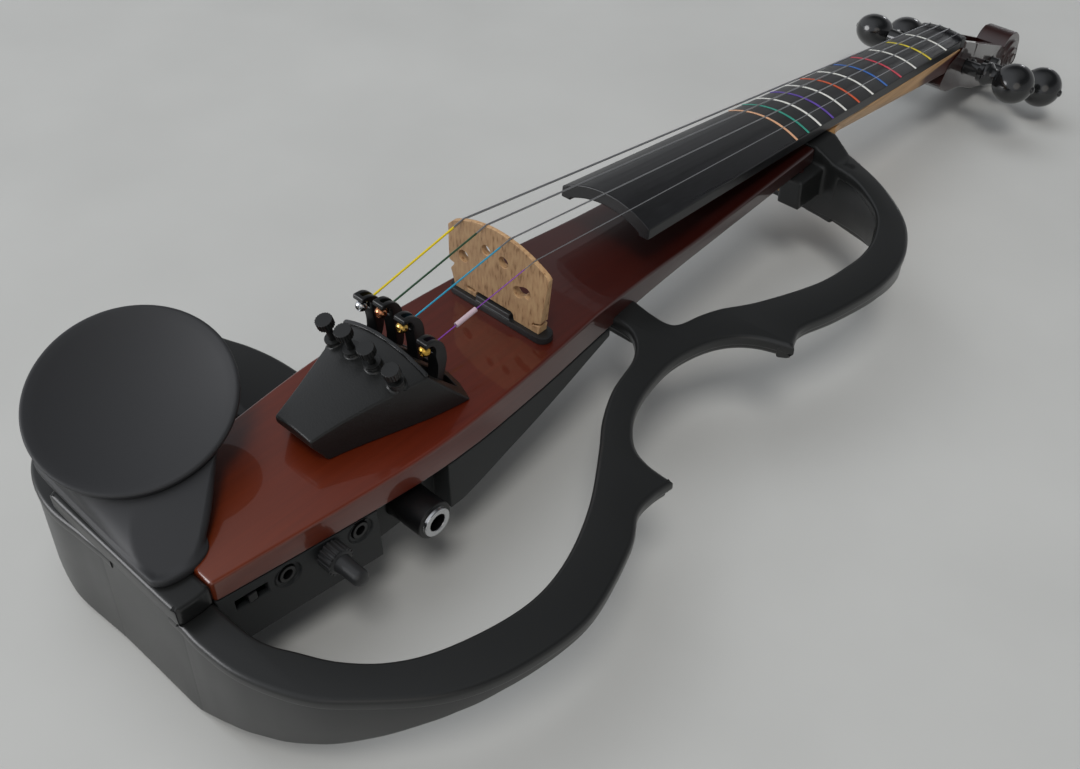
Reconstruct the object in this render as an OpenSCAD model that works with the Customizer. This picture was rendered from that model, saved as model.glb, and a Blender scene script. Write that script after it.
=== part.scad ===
// Electric violin with a slim wooden body and an open outline frame.
// Every piece is drawn about the bridge: X to the E string side, Y to the scroll, Z up,
// zero at the middle of the bridge's feet. seat() then lays the violin on its base.

/* [Strings] */
// String length from the nut to the bridge
string_len = 328; // [322:1:334]
// Half the distance from the G string to the E string at the bridge
bridge_spread = 17; // [15.5:0.5:17.5]
// Half the distance from the G string to the E string at the nut
nut_spread = 8.1; // [7.5:0.1:8.6]
// Half the distance from the G string to the E string at the tuners
tuner_spread = 15; // [14.5:0.25:15.5]
// Radius of the E string, the thinnest
string_e_r = 0.18; // [0.13:0.01:0.2]
// Radius of the G string, the thickest
string_g_r = 0.4; // [0.35:0.01:0.45]

/* [Bridge] */
// Height of the bridge at its middle
bridge_h = 33.5; // [32:0.1:35]
// Width over the bridge's feet
bridge_w = 41.5; // [40:0.5:43]
// Width over the bridge's top corners
bridge_top_w = 48; // [46:0.5:50]
// Thickness of the bridge at its feet
bridge_foot_t = 4.4; // [4:0.1:5]
// Thickness of the bridge at its top
bridge_top_t = 1.4; // [1.2:0.1:1.8]
// Radius of the curve that the strings lie on
arch_r = 42; // [41:0.5:43]
// Length of the pickup bar below the bridge
pickup_len = 48; // [46:1:52]
// Width of the pickup bar
pickup_w = 7.5; // [6:0.5:9]
// Thickness of the pickup bar
pickup_t = 3; // [2.5:0.1:3.5]

/* [Wooden body] */
// Length of the wooden body behind the bridge
body_tail = 144; // [143:0.5:146]
// Length of the wooden body in front of the bridge
body_front = 177; // [175:0.5:179]
// Half the width of the body at its widest
body_half = 31.3; // [30:0.1:32]
// Half the width of the body at the tail
body_tail_half = 22; // [21.5:0.1:23]
// Half the width of the body at the neck
body_neck_half = 20; // [19.5:0.1:20.5]
// Depth of the body at the bridge
body_depth = 12.5; // [12:0.1:14]

/* [Neck and fingerboard] */
// Length of the fingerboard
board_len = 270; // [262:1:274]
// Half the width of the fingerboard at the nut
nut_half = 12; // [11.5:0.1:12.5]
// Half the width of the fingerboard at its free end
board_end_half = 21.5; // [20.5:0.1:22]
// Height of the fingerboard's edge at the nut, below the bridge's feet
nut_edge_z = -18.2; // [-19:0.1:-17]
// Height of the fingerboard's edge at its free end
board_end_z = 13.5; // [12.5:0.1:14]
// Thickness of the fingerboard at its edges
board_edge_t = 4.5; // [4:0.1:5]
// Depth of the neck below the fingerboard
neck_depth = 15; // [14:0.5:16]
// Width of a fingering tape
tape_w = 1.3; // [1:0.1:2]
// Number of fingering tapes, a semitone apart
tape_count = 12; // [4:1:12]

/* [Head] */
// Distance from the nut to the scroll's centre
scroll_reach = 81; // [79:1:83]
// Depth of the scroll's centre below the bridge's feet
scroll_drop = 59; // [57:0.5:61]
// Radius of the scroll
scroll_r = 13; // [12:0.5:14]
// Width over the scroll's eyes
scroll_eye_w = 24; // [20:1:28]
// Radius of a peg's shaft
peg_r = 3.6; // [3.2:0.1:3.8]
// Distance from the middle of the pegbox to the end of the E peg's head
peg_reach = 50; // [49:1:54]
// Width of a peg's flat head
peg_head_w = 21; // [18:1:24]
// Clearance of a turning shaft in its bore
turn_gap = 0.05; // [0.03:0.01:0.08]

/* [Tailpiece] */
// Distance from the bridge to the tailpiece's front edge
tailpiece_front = 36; // [34:0.5:37]
// Distance from the bridge to the tailpiece's rear end
tailpiece_rear = 94; // [92:0.5:96]
// Distance from the bridge to the tailpiece's ridge
ridge_back = 53.5; // [53:0.25:54]
// Height of the ridge at its middle
ridge_h = 20; // [19.5:0.25:21]
// Half the width of the tailpiece at its front edge
tailpiece_half = 23.5; // [23:0.1:24.5]
// Half the width of the tailpiece at its rear end
tailpiece_rear_half = 8.8; // [8:0.1:10]
// Radius of the tailpiece's crown
crown_r = 48; // [44:1:54]
// Radius of a tuning screw's knob
knob_r = 3.1; // [2.9:0.1:3.3]
// Height of a tuning screw's knob
knob_h = 3; // [2.5:0.1:3.5]
// Radius of a tuning screw's shank
screw_r = 1.25; // [1:0.05:1.5]
// Width of a tuning lever
lever_w = 5; // [4:0.1:5.2]

/* [Frame] */
// Depth along the strings of the yoke that holds the neck
yoke_t = 15.5; // [13:0.5:17]
// Half the width of the lower bout
bout_half = 106; // [102:0.5:110]
// Depth of the frame's top face below the bridge's feet
frame_top = 12; // [11.5:0.1:13]
// Thickness of the frame's top flange
flange_t = 5; // [4:0.5:6]
// Thickness of the frame's outer wall
frame_wall = 6; // [4.5:0.25:7]
// Depth of the tail below the bridge's feet
tail_drop = 58; // [54:1:60]

/* [Tail and chin rest] */
// Thickness of the tail block along the body
tail_block_t = 12; // [10:0.5:12.5]
// Half the width of the tail block
tail_half = 21; // [20:0.5:21.5]
// Radius of the chin rest's cup
cup_r = 33.5; // [31:0.5:35]
// Height of the cup's middle above the bridge's feet
cup_z = 19; // [17:0.5:22]
// Tilt of the cup towards the strings
cup_tilt = 19; // [14:1:22]
// Depth of the cup's dish
dish_depth = 7; // [5:0.5:8]

/* [Control housing] */
// Depth of the housing's floor below the bridge's feet, at the tail
housing_drop = 36; // [35.5:0.25:38]
// Thickness of the housing's walls
shell = 2.4; // [2:0.1:3]
// Length of the battery door
door_len = 54; // [53:1:60]
// Width of the battery door
door_w = 26; // [25.5:0.25:27]
// Radius of a battery cell
cell_r = 5.2; // [5.1:0.05:5.25]
// Length of a battery cell
cell_len = 44; // [43:0.5:44.5]
// Radius of the bore of a 3.5 mm socket
mini_bore_r = 1.8; // [1.78:0.01:1.85]
// Radius of the bore of the 6.35 mm line-out socket
line_bore_r = 3.25; // [3.2:0.01:3.3]
// Radius of the line-out socket's barrel
line_barrel_r = 7; // [6:0.25:7.5]
// Length that the volume knob stands out of the panel
volume_len = 16; // [10:0.5:20]
// Radius of the volume knob's stem
volume_r = 3.75; // [3:0.25:4.5]

/* [Hidden] */
$fn = 48;

G = 0;
D = 1;
A = 2;
E = 3;
seam = 0.3;          // gap between pieces of different bodies
steps = 4;           // points on each stretch of a curve
over = 1;            // overshoot of a cutting solid

// Height of the chord below the top of an arc of radius r, half as wide as w
function sag(r, w) = r - sqrt(r * r - w * w);
function spread(half, i) = half * (2 * i / 3 - 1);
function mirrored(p) = [for (q = p) [-q[0], q[1]]];
function reversed(p) = [for (i = [len(p) - 1:-1:0]) p[i]];
function unit(v) = v / norm(v);
function across(a, b) = let (t = unit(b - a)) [-t[1], t[0]];

// Smooth curve through hand-set points, from the first to the last
function curve(p) = concat([for (i = [0:len(p) - 2]) for (k = [0:steps - 1])
  let (t = k / steps, a = p[max(i - 1, 0)], b = p[i], c = p[i + 1], d = p[min(i + 2, len(p) - 1)])
  0.5 * (2 * b + (c - a) * t + (2 * a - 5 * b + 4 * c - d) * t * t
    + (3 * b - a - 3 * c + d) * t * t * t)], [p[len(p) - 1]]);
function joined(p, q) = concat([for (i = [0:len(p) - 2]) p[i]], q);

// The same open line, moved to its left by d
function inset(p, d) = [for (i = [0:len(p) - 1])
  p[i] + d * unit(across(p[max(i - 1, 0)], p[min(i + 1, len(p) - 1)]))];

// Plan outline between two heights
module plan(p, low, high) translate([0, 0, low]) linear_extrude(high - low) polygon(p);
// Side profile of [y, z] points between two x values
module side(p, from, to) translate([from, 0, 0]) rotate([90, 0, 90]) linear_extrude(to - from) polygon(p);
module block(low, high) translate(low) cube(high - low);
module rod(a, b, r) {
  v = b - a;
  translate(a) rotate([0, acos(v[2] / norm(v)), atan2(v[1], v[0])]) cylinder(h = norm(v), r = r);
}
module along_x(from, to, y, z, r) translate([from, y, z]) rotate([0, 90, 0]) cylinder(h = to - from, r = r);
module along_y(from, to, x, z, r) translate([x, from, z]) rotate([-90, 0, 0]) cylinder(h = to - from, r = r);
module pill(len, w, t) {
  translate([-len / 2 + w / 2, -w / 2, 0]) cube([len - w, w, t]);
  for (s = [-1, 1]) translate([s * (len - w) / 2, 0, 0]) cylinder(h = t, d = w);
}

// ---- Where the violin lies ----
tail_y = -156.5;
cup_at = [-38.6, -124.6, cup_z];
cup_turn = -42.7;
scroll_y = string_len + scroll_reach;
rest_tilt = atan2(scroll_drop + scroll_r - tail_drop, scroll_y - tail_y);
head_end = scroll_y * cos(rest_tilt) + scroll_drop * sin(rest_tilt) + scroll_r;
rim_y = cup_at[1] - cup_r * sqrt(1 - pow(sin(cup_tilt) * sin(cup_turn), 2));
rim_z = cup_z + cup_r * cos(cup_tilt) * sin(cup_tilt) * sin(cup_turn);
tail_end = rim_y * cos(rest_tilt) - rim_z * sin(rest_tilt);
floor_z = scroll_y * sin(rest_tilt) - scroll_drop * cos(rest_tilt) - scroll_r;
module under_floor() rotate([-rest_tilt, 0, 0]) block([-200, -300, floor_z - 100], [200, 600, floor_z]);
module seat() translate([0, -(head_end + tail_end) / 2, -floor_z]) rotate([rest_tilt, 0, 0]) children();

// ---- Fingerboard lines ----
board_rise = board_end_z + sag(arch_r, board_end_half) - nut_edge_z - sag(arch_r, nut_half);
board_tilt = atan2(board_rise, board_len);
board_span = board_len / cos(board_tilt);
nut_crown_z = nut_edge_z + sag(arch_r, nut_half);
nut_t = 5;
nut_rise = 1.1;
nut_under = sag(arch_r, nut_half) + board_edge_t;
end_under = sag(arch_r, board_end_half) + board_edge_t;
// Zero at the crown of the fingerboard at the nut, Y along its crown line to the scroll
module on_board() translate([0, string_len, nut_crown_z]) rotate([-board_tilt, 0, 0]) children();
function board_half(d) = nut_half + (board_end_half - nut_half) * d / board_span;
function board_plan(from, to, extra = 0) = let (a = board_half(from) + extra, b = board_half(to) + extra)
  [[-a, -from], [a, -from], [b, -to], [-b, -to]];
module board_crown(r) along_y(-board_span - over, nut_t + over, 0, -arch_r, r);

// ---- Strings ----
string_r = [string_g_r, 0.36, 0.3, string_e_r];
function string_tilt(x) = -0.02 * x;
function bridge_top(x) = bridge_h - sag(arch_r, x) + string_tilt(x);
function at_bridge(i) = let (x = spread(bridge_spread, i)) [x, 0, bridge_top(x)];
function at_nut(i) = let (x = spread(nut_spread, i))
  [x, string_len + nut_t / 2, nut_crown_z + nut_rise - sag(arch_r, x)];
ball_z = [23, 25.8, 25.2, 21];
ball_y = -50;
function at_ball(i) = [spread(tuner_spread, i), ball_y, ball_z[i]];
// Distance of each peg beyond the nut, depth below the bridge's feet, and side
peg_at = [[21, 40.5], [56, 54], [44.5, 51], [12, 37]];
peg_side = [-1, -1, 1, 1];
peg_out = [7, 4, 4, 0];   // how much further each head stands out than the E peg's
peg_turn = [38, 20, 52, 38];
winding_x = [-3.5, -1.4, 1.4, 3.5];
winding_turns = 4;
function peg_pos(i) = [0, string_len + peg_at[i][0], -peg_at[i][1]];
// The free string ends just above the turns that ride on its peg
function at_peg(i) = peg_pos(i) + [winding_x[i], 0, peg_r + 3 * string_r[i] + seam];

// ---- Wooden body ----
body_top = -pickup_t;
body_side = [[body_tail_half, -body_tail], [body_half - 2.3, -88], [body_half, -54],
  [body_half - 2, -10], [25, 37], [22.4, 82], [body_neck_half, body_front]];
body_plan = concat(curve(body_side), reversed(mirrored(curve(body_side))));
body_floor = -body_depth - pickup_t;
tail_floor = body_floor + 3.5;
floor_bend = -40;
body_profile = concat([[-body_tail, tail_floor], [-body_tail, body_top], [8, body_top]],
  curve([[22, body_top], [48, body_top - 2], [84, body_top - 4.8], [110, body_top - 5]]),
  [[body_front, body_top - 5], [body_front, body_floor], [floor_bend, body_floor]]);
function body_under(y) = y > floor_bend ? body_floor
  : body_floor + (tail_floor - body_floor) * (floor_bend - y) / (floor_bend + body_tail);
tail_screw_x = 12;
tail_screw_z = -8.2;
lug_screw = [[18, 40], [17.8, 168]];

module body_solid() intersection() {
  plan(body_plan, -60, 20);
  side(body_profile, -60, 60);
}
module body() color("#6b2c1a") difference() {
  body_solid();
  for (x = [-tail_screw_x, tail_screw_x])
    along_y(-body_tail - over, -body_tail + 14, x, tail_screw_z, 1.5 + turn_gap);
  for (p = lug_screw) translate([p[0], p[1], body_floor - over]) cylinder(h = 6 + over, r = 1.5 + turn_gap);
}

// ---- Neck, fingerboard, nut ----
heel_len = 20;
heel_drop = 44;
heel_sink = 1.5;
yoke_front = body_front + yoke_t;
tenon_half = 12.5;
tenon_drop = 37;
flare_r = 24;
neck_root = string_len - yoke_front;
function under(d) = nut_under + (end_under - nut_under) * d / board_span;
function under_point(d) = [string_len - d * cos(board_tilt) - under(d) * sin(board_tilt),
  nut_crown_z + d * sin(board_tilt) - under(d) * cos(board_tilt)];
module neck_shaft() on_board() intersection() {
  plan(board_plan(-2, neck_root + 4), -40, 20);
  side([[2, -nut_under], [0, -nut_under], [-neck_root - 4, -under(neck_root + 4)], [-neck_root - 4, -40],
    [2, -40]], -30, 30);
  along_y(-neck_root - 4, 2, 0, -nut_under - 0.5, neck_depth + 0.5);
}
function board_under_z(y) = let (a = under_point(0), b = under_point(board_span))
  a[1] + (a[0] - y) * (b[1] - a[1]) / (a[0] - b[0]);
// The neck widens into the yoke in a hollow curve, round below
flare_side = curve([[20.5, yoke_front], [17.2, yoke_front + 5], [15, yoke_front + 13], [13.5, yoke_front + 24]]);
module neck_flare() intersection() {
  plan(concat(flare_side, reversed(mirrored(flare_side))), -60, 20);
  side([[yoke_front, -60], [yoke_front, board_under_z(yoke_front) - heel_sink],
    [yoke_front + 40, board_under_z(yoke_front + 40) - heel_sink], [yoke_front + 40, -60]], -30, 30);
  along_y(yoke_front, yoke_front + 40, 0, 5, flare_r);
}
// The heel runs on as a tenon through the yoke to the end of the body
heel_profile = concat([[body_front, -tenon_drop], [body_front, board_under_z(body_front)],
  [yoke_front, board_under_z(yoke_front)], [yoke_front, board_under_z(yoke_front) - heel_sink],
  [yoke_front + 40, board_under_z(yoke_front + 40) - heel_sink]],
  curve([[yoke_front + 40, board_under_z(yoke_front + 40) - neck_depth + 1], [yoke_front + 18, -23.5],
    [yoke_front + 9, -28], [yoke_front + 3, -tenon_drop + 2], [yoke_front + 0.5, -tenon_drop]]));
heel_side = curve([[tenon_half, yoke_front], [tenon_half - 1, yoke_front + 9], [6.5, yoke_front + heel_len],
  [4, yoke_front + 30]]);
heel_plan = concat([[tenon_half, body_front]], heel_side, reversed(mirrored(heel_side)), [[-tenon_half, body_front]]);
module neck_heel() intersection() {
  plan(heel_plan, -60, 20);
  side(heel_profile, -30, 30);
}
module neck() color("#b98d5c") union() {
  difference() {
    neck_shaft();
    block([-60, -60, -80], [60, yoke_front, 60]);
  }
  neck_flare();
  neck_heel();
}

hollow_len = 112;
module fingerboard() color("#1d1d1f") on_board() difference() {
  intersection() {
    plan(board_plan(0, board_span), -40, 20);
    side([[0, -nut_under], [0, 5], [-board_span, 5], [-board_span, -end_under]], -30, 30);
    board_crown(arch_r);
  }
  intersection() {
    plan(board_plan(board_span - hollow_len, board_span + over, -4.5), -40, 20);
    along_y(-board_span - over, -board_span + hollow_len, 0, -arch_r, arch_r - board_edge_t - 0.8);
  }
}

tape_t = 0.15;
function fret_at(n) = string_len * (1 - pow(2, -n / 12)) / cos(board_tilt);
module fingering_tapes() color("#e8e4d8") on_board() for (n = [1:tape_count]) difference() {
  intersection() {
    plan(board_plan(fret_at(n) - tape_w / 2, fret_at(n) + tape_w / 2), -40, 20);
    board_crown(arch_r + tape_t);
    side([[0, -sag(arch_r, nut_half) - 5], [0, 5], [-board_span, 5], [-board_span, -5]], -30, 30);
  }
  board_crown(arch_r);
}

// Grooves for the strings where they bend over the nut or the bridge
module groove(i, from, at, to) {
  rod(at + 8 * unit(from - at), at - 2 * unit(from - at), string_r[i] + 0.05, $fn = 16);
  rod(at + 8 * unit(to - at), at - 2 * unit(to - at), string_r[i] + 0.05, $fn = 16);
}
module nut() color("#1a1a1c") difference() {
  on_board() intersection() {
    plan([[-nut_half, 0], [nut_half, 0], [nut_half, nut_t], [-nut_half, nut_t]], -40, 20);
    side([[0, -nut_under], [0, nut_rise], [nut_t / 2 + 0.4, nut_rise], [nut_t, nut_rise - 2.6],
      [nut_t, -nut_under]], -30, 30);
    board_crown(arch_r + nut_rise);
  }
  for (i = [G:E]) groove(i, at_bridge(i), at_nut(i), at_peg(i));
}

// ---- Head ----
throat_y = scroll_y - 14;
throat_half = 8.4;
head_root = string_len + 1.5;
cavity_floor = 6;
head_top = [[head_root, board_under_z(head_root)], [string_len + nut_t, board_under_z(head_root) + 2.5],
  [string_len + 30, -31.5], [throat_y, -scroll_drop + scroll_r - 2]];
head_back = [[scroll_y - 8, -scroll_drop - scroll_r + 3.5], [string_len + 58, -67.5], [string_len + 32, -59],
  [string_len + 12, -49.5], [string_len - 6, -44.5], [string_len - 16, -37.5]];
head_side = concat([head_top[0], head_top[1]], curve([head_top[1] + [1, -0.5], head_top[2], head_top[3]]),
  [[scroll_y, -scroll_drop]], curve(head_back), [[head_root - 12, board_under_z(head_root - 12) - 6]]);
cheeks = [[nut_half + 0.6, string_len - 18], [nut_half + 0.6, string_len + 4],
  [nut_half - 0.6, string_len + 30], [throat_half, throat_y], [throat_half, scroll_y + 20]];
cheeks_plan = concat(curve(cheeks), reversed(mirrored(curve(cheeks))));
cavity_plan = [[-8.9, string_len + nut_t + 0.8], [8.9, string_len + nut_t + 0.8], [5.2, throat_y - 4],
  [-5.2, throat_y - 4]];

// Each turn of the scroll: its share of the radius and of the step out to the eyes
volute_turns = [[1, 0], [0.7, 0.45], [0.44, 0.8], [0.22, 1]];
module volute() translate([0, scroll_y, -scroll_drop]) rotate([90, 0, 90])
  for (k = [0:3]) translate([-0.3 * k, -0.3 * k])
    linear_extrude(2 * throat_half + volute_turns[k][1] * (scroll_eye_w - 2 * throat_half), center = true)
      circle(r = scroll_r * volute_turns[k][0]);
module head() color("#5f2718") difference() {
  union() {
    intersection() {
      side(head_side, -30, 30);
      plan(cheeks_plan, -90, 20);
    }
    volute();
  }
  intersection() {
    plan(cavity_plan, -90, 20);
    side(concat([[string_len, 0]], [for (p = [head_top[1], head_top[2], head_top[3]]) p + [0, 20]],
      [[throat_y, -scroll_drop + 8], head_back[1] + [0, cavity_floor + 1.5], head_back[2] + [0, cavity_floor],
      head_back[3] + [0, cavity_floor], [string_len, -40]]), -30, 30);
  }
  block([-8.9, string_len + nut_t, board_under_z(head_root)], [8.9, string_len + nut_t + 2, 0]);
  for (i = [G:E]) along_x(-30, 30, peg_pos(i)[1], peg_pos(i)[2], peg_r + turn_gap);
  neck_shaft();
  on_board() block([-30, -60, -nut_under], [30, nut_t, 30]);
}

// ---- Pegs and the string wound on them ----
collar_x = 24;
peg_tail = nut_half + 1.5;
module peg(i) translate(peg_pos(i)) rotate([peg_turn[i], 0, peg_side[i] > 0 ? 0 : 180]) {
  head_x = peg_reach + peg_out[i] - peg_head_w / 2;
  along_x(-peg_tail, collar_x, 0, 0, peg_r);
  along_x(collar_x - 3.5, collar_x, 0, 0, peg_r + 1.6);
  along_x(collar_x - 0.4, collar_x + 2.6, 0, 0, peg_r + 2.6);
  along_x(collar_x + 2.6, head_x, 0, 0, peg_r + 0.2);
  intersection() {
    translate([head_x, 0, -6]) linear_extrude(12) {
      circle(d = peg_head_w);
      translate([-peg_head_w / 2 - 1, -peg_r]) square([peg_head_w / 2, 2 * peg_r]);
    }
    translate([head_x, 0, 0]) rotate([90, 0, 0])
      linear_extrude(peg_head_w + 2, center = true)
        polygon([[-peg_head_w, 4.6], [0, 3.6], [peg_head_w / 2, 4.4],
          [peg_head_w / 2, -4.4], [0, -3.6], [-peg_head_w, -4.6]]);
  }
  translate([head_x + peg_head_w / 2 - 1, 0, 0]) sphere(r = 2);
}
module winding(i) translate(peg_pos(i)) for (k = [0:winding_turns - 1])
  translate([winding_x[i] + peg_side[i] * k * 2.1 * string_r[i], 0, 0])
    rotate([0, 90, 0]) rotate_extrude() translate([peg_r + string_r[i], 0]) circle(r = string_r[i], $fn = 16);

// ---- Strings ----
module string_path(i, r) {
  rod(at_ball(i) + [0, 0.4, 0], at_bridge(i), r, $fn = 16);
  translate(at_bridge(i)) sphere(r = r + 0.03, $fn = 16);
  rod(at_bridge(i), at_nut(i), r, $fn = 16);
  translate(at_nut(i)) sphere(r = r + 0.03, $fn = 16);
  rod(at_nut(i), at_peg(i), r, $fn = 16);
}

sleeve_at = 0.36;
sleeve_len = 9;
sleeve_r = 0.9;
module e_string_sleeve() color("#e9b9cf") {
  v = unit(at_bridge(E) - at_ball(E));
  mid = at_ball(E) + sleeve_at * (at_bridge(E) - at_ball(E));
  difference() {
    rod(mid - v * sleeve_len / 2, mid + v * sleeve_len / 2, sleeve_r, $fn = 24);
    rod(mid - v * sleeve_len, mid + v * sleeve_len, string_e_r + 0.12, $fn = 24);
  }
}

// ---- Bridge and pickup ----
arch_top = 3;
foot_in = [-10.5, 8.4];      // inner ends of the G side's and the E side's foot
bridge_e_side = [[bridge_w / 2 - 0.4, 0], [bridge_w / 2, 2.8], [21.2, 5.6], [22.4, 13.6], [23.3, 20],
  [bridge_top_w / 2, 24.8]];
bridge_g_side = [[-bridge_top_w / 2, 25.6], [-bridge_top_w / 2, 16.5], [-23.8, 10.4], [-21.3, 9.9], [-21.6, 9],
  [-23.1, 7], [-22.4, 4.9], [-bridge_w / 2 - 0.3, 0]];
bridge_outline = concat(
  [[foot_in[0], 0], [foot_in[0] + 0.4, arch_top - 0.8], [foot_in[0] + 1.4, arch_top], [foot_in[1] - 1.4, arch_top],
    [foot_in[1] - 0.4, arch_top - 0.8], [foot_in[1], 0]], bridge_e_side,
  [for (x = [bridge_top_w / 2 - 0.8:-2.12:-bridge_top_w / 2 + 0.6]) [x, bridge_top(x)]], bridge_g_side);
module bean(len, w) {
  for (s = [-1, 1]) translate([s * (len - w) / 2, 0]) circle(d = w);
  square([len - w, w], center = true);
}
module bridge_holes() {
  translate([-16.4, 15.2]) circle(r = 2.4);
  translate([-5.3, 23.2]) circle(r = 2);
  translate([3.1, 22.2]) circle(r = 2.2);
  translate([12, 13.9]) rotate(21) difference() {
    bean(8.4, 4.6);
    translate([0.4, -3]) circle(r = 1.6);
  }
  translate([-12.8, 2.6]) bean(4, 1.2);
  polygon([[17.2, 2.6], [bridge_w / 2 + 1, 4.2], [bridge_w / 2 + 1, 5.2], [17.4, 3.6]]);
}
module bridge() color("#c79d70") difference() {
  intersection() {
    rotate([90, 0, 0]) linear_extrude(2 * bridge_foot_t, center = true) difference() {
      polygon(bridge_outline);
      bridge_holes();
    }
    side([[-bridge_foot_t / 2, 0], [bridge_foot_t / 2, 0], [bridge_top_t / 2, bridge_h + 1],
      [-bridge_top_t / 2, bridge_h + 1]], -30, 30);
  }
  for (i = [G:E]) groove(i, at_ball(i), at_bridge(i), at_nut(i));
}
pickup_gap = 1.1;
module pickup_bar() color("#232425") {
  translate([0, 0, -pickup_t]) pill(pickup_len, pickup_w, pickup_t);
  block([foot_in[0] + pickup_gap, -pickup_w / 2 + 0.5, -over],
    [foot_in[1] - pickup_gap, pickup_w / 2 - 0.5, arch_top - 0.6]);
}

// ---- Tailpiece ----
rear_z = 8.9;
front_z = body_top + 3.5;
rear_tilt = atan2(ridge_h - rear_z, tailpiece_rear - ridge_back);
front_tilt = atan2(ridge_h - front_z, ridge_back - tailpiece_front);
apron_r = crown_r * cos(rear_tilt) / cos(front_tilt);
apron_step = 0.8;
lip_t = 3.2;
tail_wall = 2.4;
tailpiece_side = [[tailpiece_rear_half, -tailpiece_rear], [12, -tailpiece_rear + 13], [17.2, -tailpiece_rear + 29.5],
  [20.6, -ridge_back], [tailpiece_half, -tailpiece_front - 3], [tailpiece_half - 1.5, -tailpiece_front]];
function plan_of(p) = concat(curve(p), reversed(mirrored(curve(p))));
tailpiece_plan = plan_of(tailpiece_side);
tailpiece_inner = plan_of([for (p = tailpiece_side) p - [tail_wall, 0]]);
axle_y = -50;
axle_z = 4;
axle_r = 1.4;
arm_len = 10.5;
arm_top = 7.2;
arm_w = 2.6;
slot_gap = 0.5;
knob_lift = [6.6, 6.2, 4.4, 2.6];
bush_h = 1.6;
collar_h = 0.9;
screw_foot = [axle_y - arm_len, arm_top + 0.25];

module crown(r, tilt, grow = 0, drop = 0) translate([0, -ridge_back, ridge_h - drop]) rotate([tilt, 0, 0])
  along_y(-80, 80, 0, -r, r + grow);
// Zero at the foot of string i's tuning screw, Z out along the screw
module on_screw(i) translate([spread(tuner_spread, i), screw_foot[0], screw_foot[1]])
  rotate([rear_tilt, 0, 0]) children();
function crown_above(i) = (rear_z + (tailpiece_rear + screw_foot[0]) * tan(rear_tilt) - screw_foot[1])
  * cos(rear_tilt) - sag(crown_r, spread(tuner_spread, i));

module tailpiece_solid() {
  intersection() {
    plan(tailpiece_plan, -20, 40);
    side([[-tailpiece_rear, rear_z + over], [-ridge_back, ridge_h + over], [-ridge_back, body_top],
      [-tailpiece_rear + 5, body_top], [-tailpiece_rear, rear_z - lip_t]], -40, 40);
    crown(crown_r, rear_tilt);
  }
  intersection() {
    plan(tailpiece_plan, -20, 40);
    side([[-ridge_back, ridge_h + over], [-tailpiece_front, front_z + over], [-tailpiece_front, body_top],
      [-ridge_back, body_top]], -40, 40);
    crown(apron_r, -front_tilt, 0, apron_step);
  }
}
module tailpiece() color("#2a2b2c") difference() {
  union() {
    tailpiece_solid();
    for (i = [G:E]) on_screw(i) cylinder(h = crown_above(i) + bush_h, r = knob_r - 0.3);
  }
  intersection() {
    union() {
      plan(tailpiece_inner, -20, 40);
      for (i = [G, E]) block([spread(tuner_spread, i) - arm_w / 2 - slot_gap, axle_y - arm_len - 2, -20],
        [spread(tuner_spread, i) + arm_w / 2 + slot_gap, axle_y, 40]);
    }
    side([[-tailpiece_rear + 9, body_top - over], [-tailpiece_rear + 9, 1], [-ridge_back, 12.5],
      [-tailpiece_front - 5, body_top + 0.5], [-tailpiece_front - 5, body_top - over]], -40, 40);
  }
  for (i = [G:E]) {
    x = spread(tuner_spread, i);
    block([x - lever_w / 2 - slot_gap, -51.6, body_top - over], [x + lever_w / 2 + slot_gap, -40, 40]);
    on_screw(i) translate([0, 0, -6]) cylinder(h = 40, r = screw_r + turn_gap);
  }
  along_x(-21, 21, axle_y, axle_z, axle_r + 0.02);
}
ridge_rise = 0.9;
module tailpiece_ridge() color("#3a3b3c") intersection() {
  difference() {
    crown(crown_r, rear_tilt, ridge_rise);
    crown(crown_r, rear_tilt);
  }
  block([-20, -ridge_back - 1.4, 10], [20, -ridge_back, 30]);
}
module tuner_axle() color("#8b8d90") along_x(-20.6, 20.6, axle_y, axle_z, axle_r);

// ---- Fine tuners ----
module lever(i) {
  x = spread(tuner_spread, i);
  z = ball_z[i];
  difference() {
    side(concat([[axle_y - arm_len - 1.2, arm_top], [axle_y - arm_len - 1.2, arm_top - 2.6]],
      [for (a = [200:20:340]) [axle_y + 3.4 * cos(a), axle_z + 3.4 * sin(a)]],
      curve([[axle_y + 4.6, axle_z + 3], [axle_y + 6.6, axle_z + 8], [axle_y + 7.2, z - 4.5],
        [axle_y + 6, z + 0.6], [axle_y + 3, z + 3.6], [axle_y - 1, z + 4.2]]),
      curve([[axle_y - 1.4, z + 2.6], [axle_y + 1.2, z + 2.2], [axle_y + 2.6, z], [axle_y + 2.4, z - 3],
        [axle_y + 3, axle_z + 9.5], [axle_y + 1.8, arm_top + 0.6], [axle_y - 2, arm_top]])),
      x - lever_w / 2, x + lever_w / 2);
    along_x(x - lever_w, x + lever_w, axle_y, axle_z, axle_r + turn_gap);
    block([x - 0.9, axle_y + 0.4, z - 2.2], [x + 0.9, axle_y + 12, z + 6]);
    for (s = [-1, 1]) translate([x + s * (arm_w + lever_w) / 2, axle_y - arm_len - 4, -5])
      translate([-lever_w / 2, 0, 0]) cube([lever_w, arm_len, arm_top + 8]);
  }
}
ball_bore_r = 1.1;
module ball_end(i) difference() {
  translate(at_ball(i)) sphere(r = 2.1);
  way = 5 * unit(at_bridge(i) - at_ball(i));
  rod(at_ball(i) - way, at_ball(i) + way, ball_bore_r);
}
module collar(i) on_screw(i) translate([0, 0, crown_above(i) + bush_h + 0.1]) difference() {
  cylinder(h = collar_h, r = knob_r - 0.1);
  translate([0, 0, -over]) cylinder(h = collar_h + 2 * over, r = screw_r + turn_gap);
}
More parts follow.
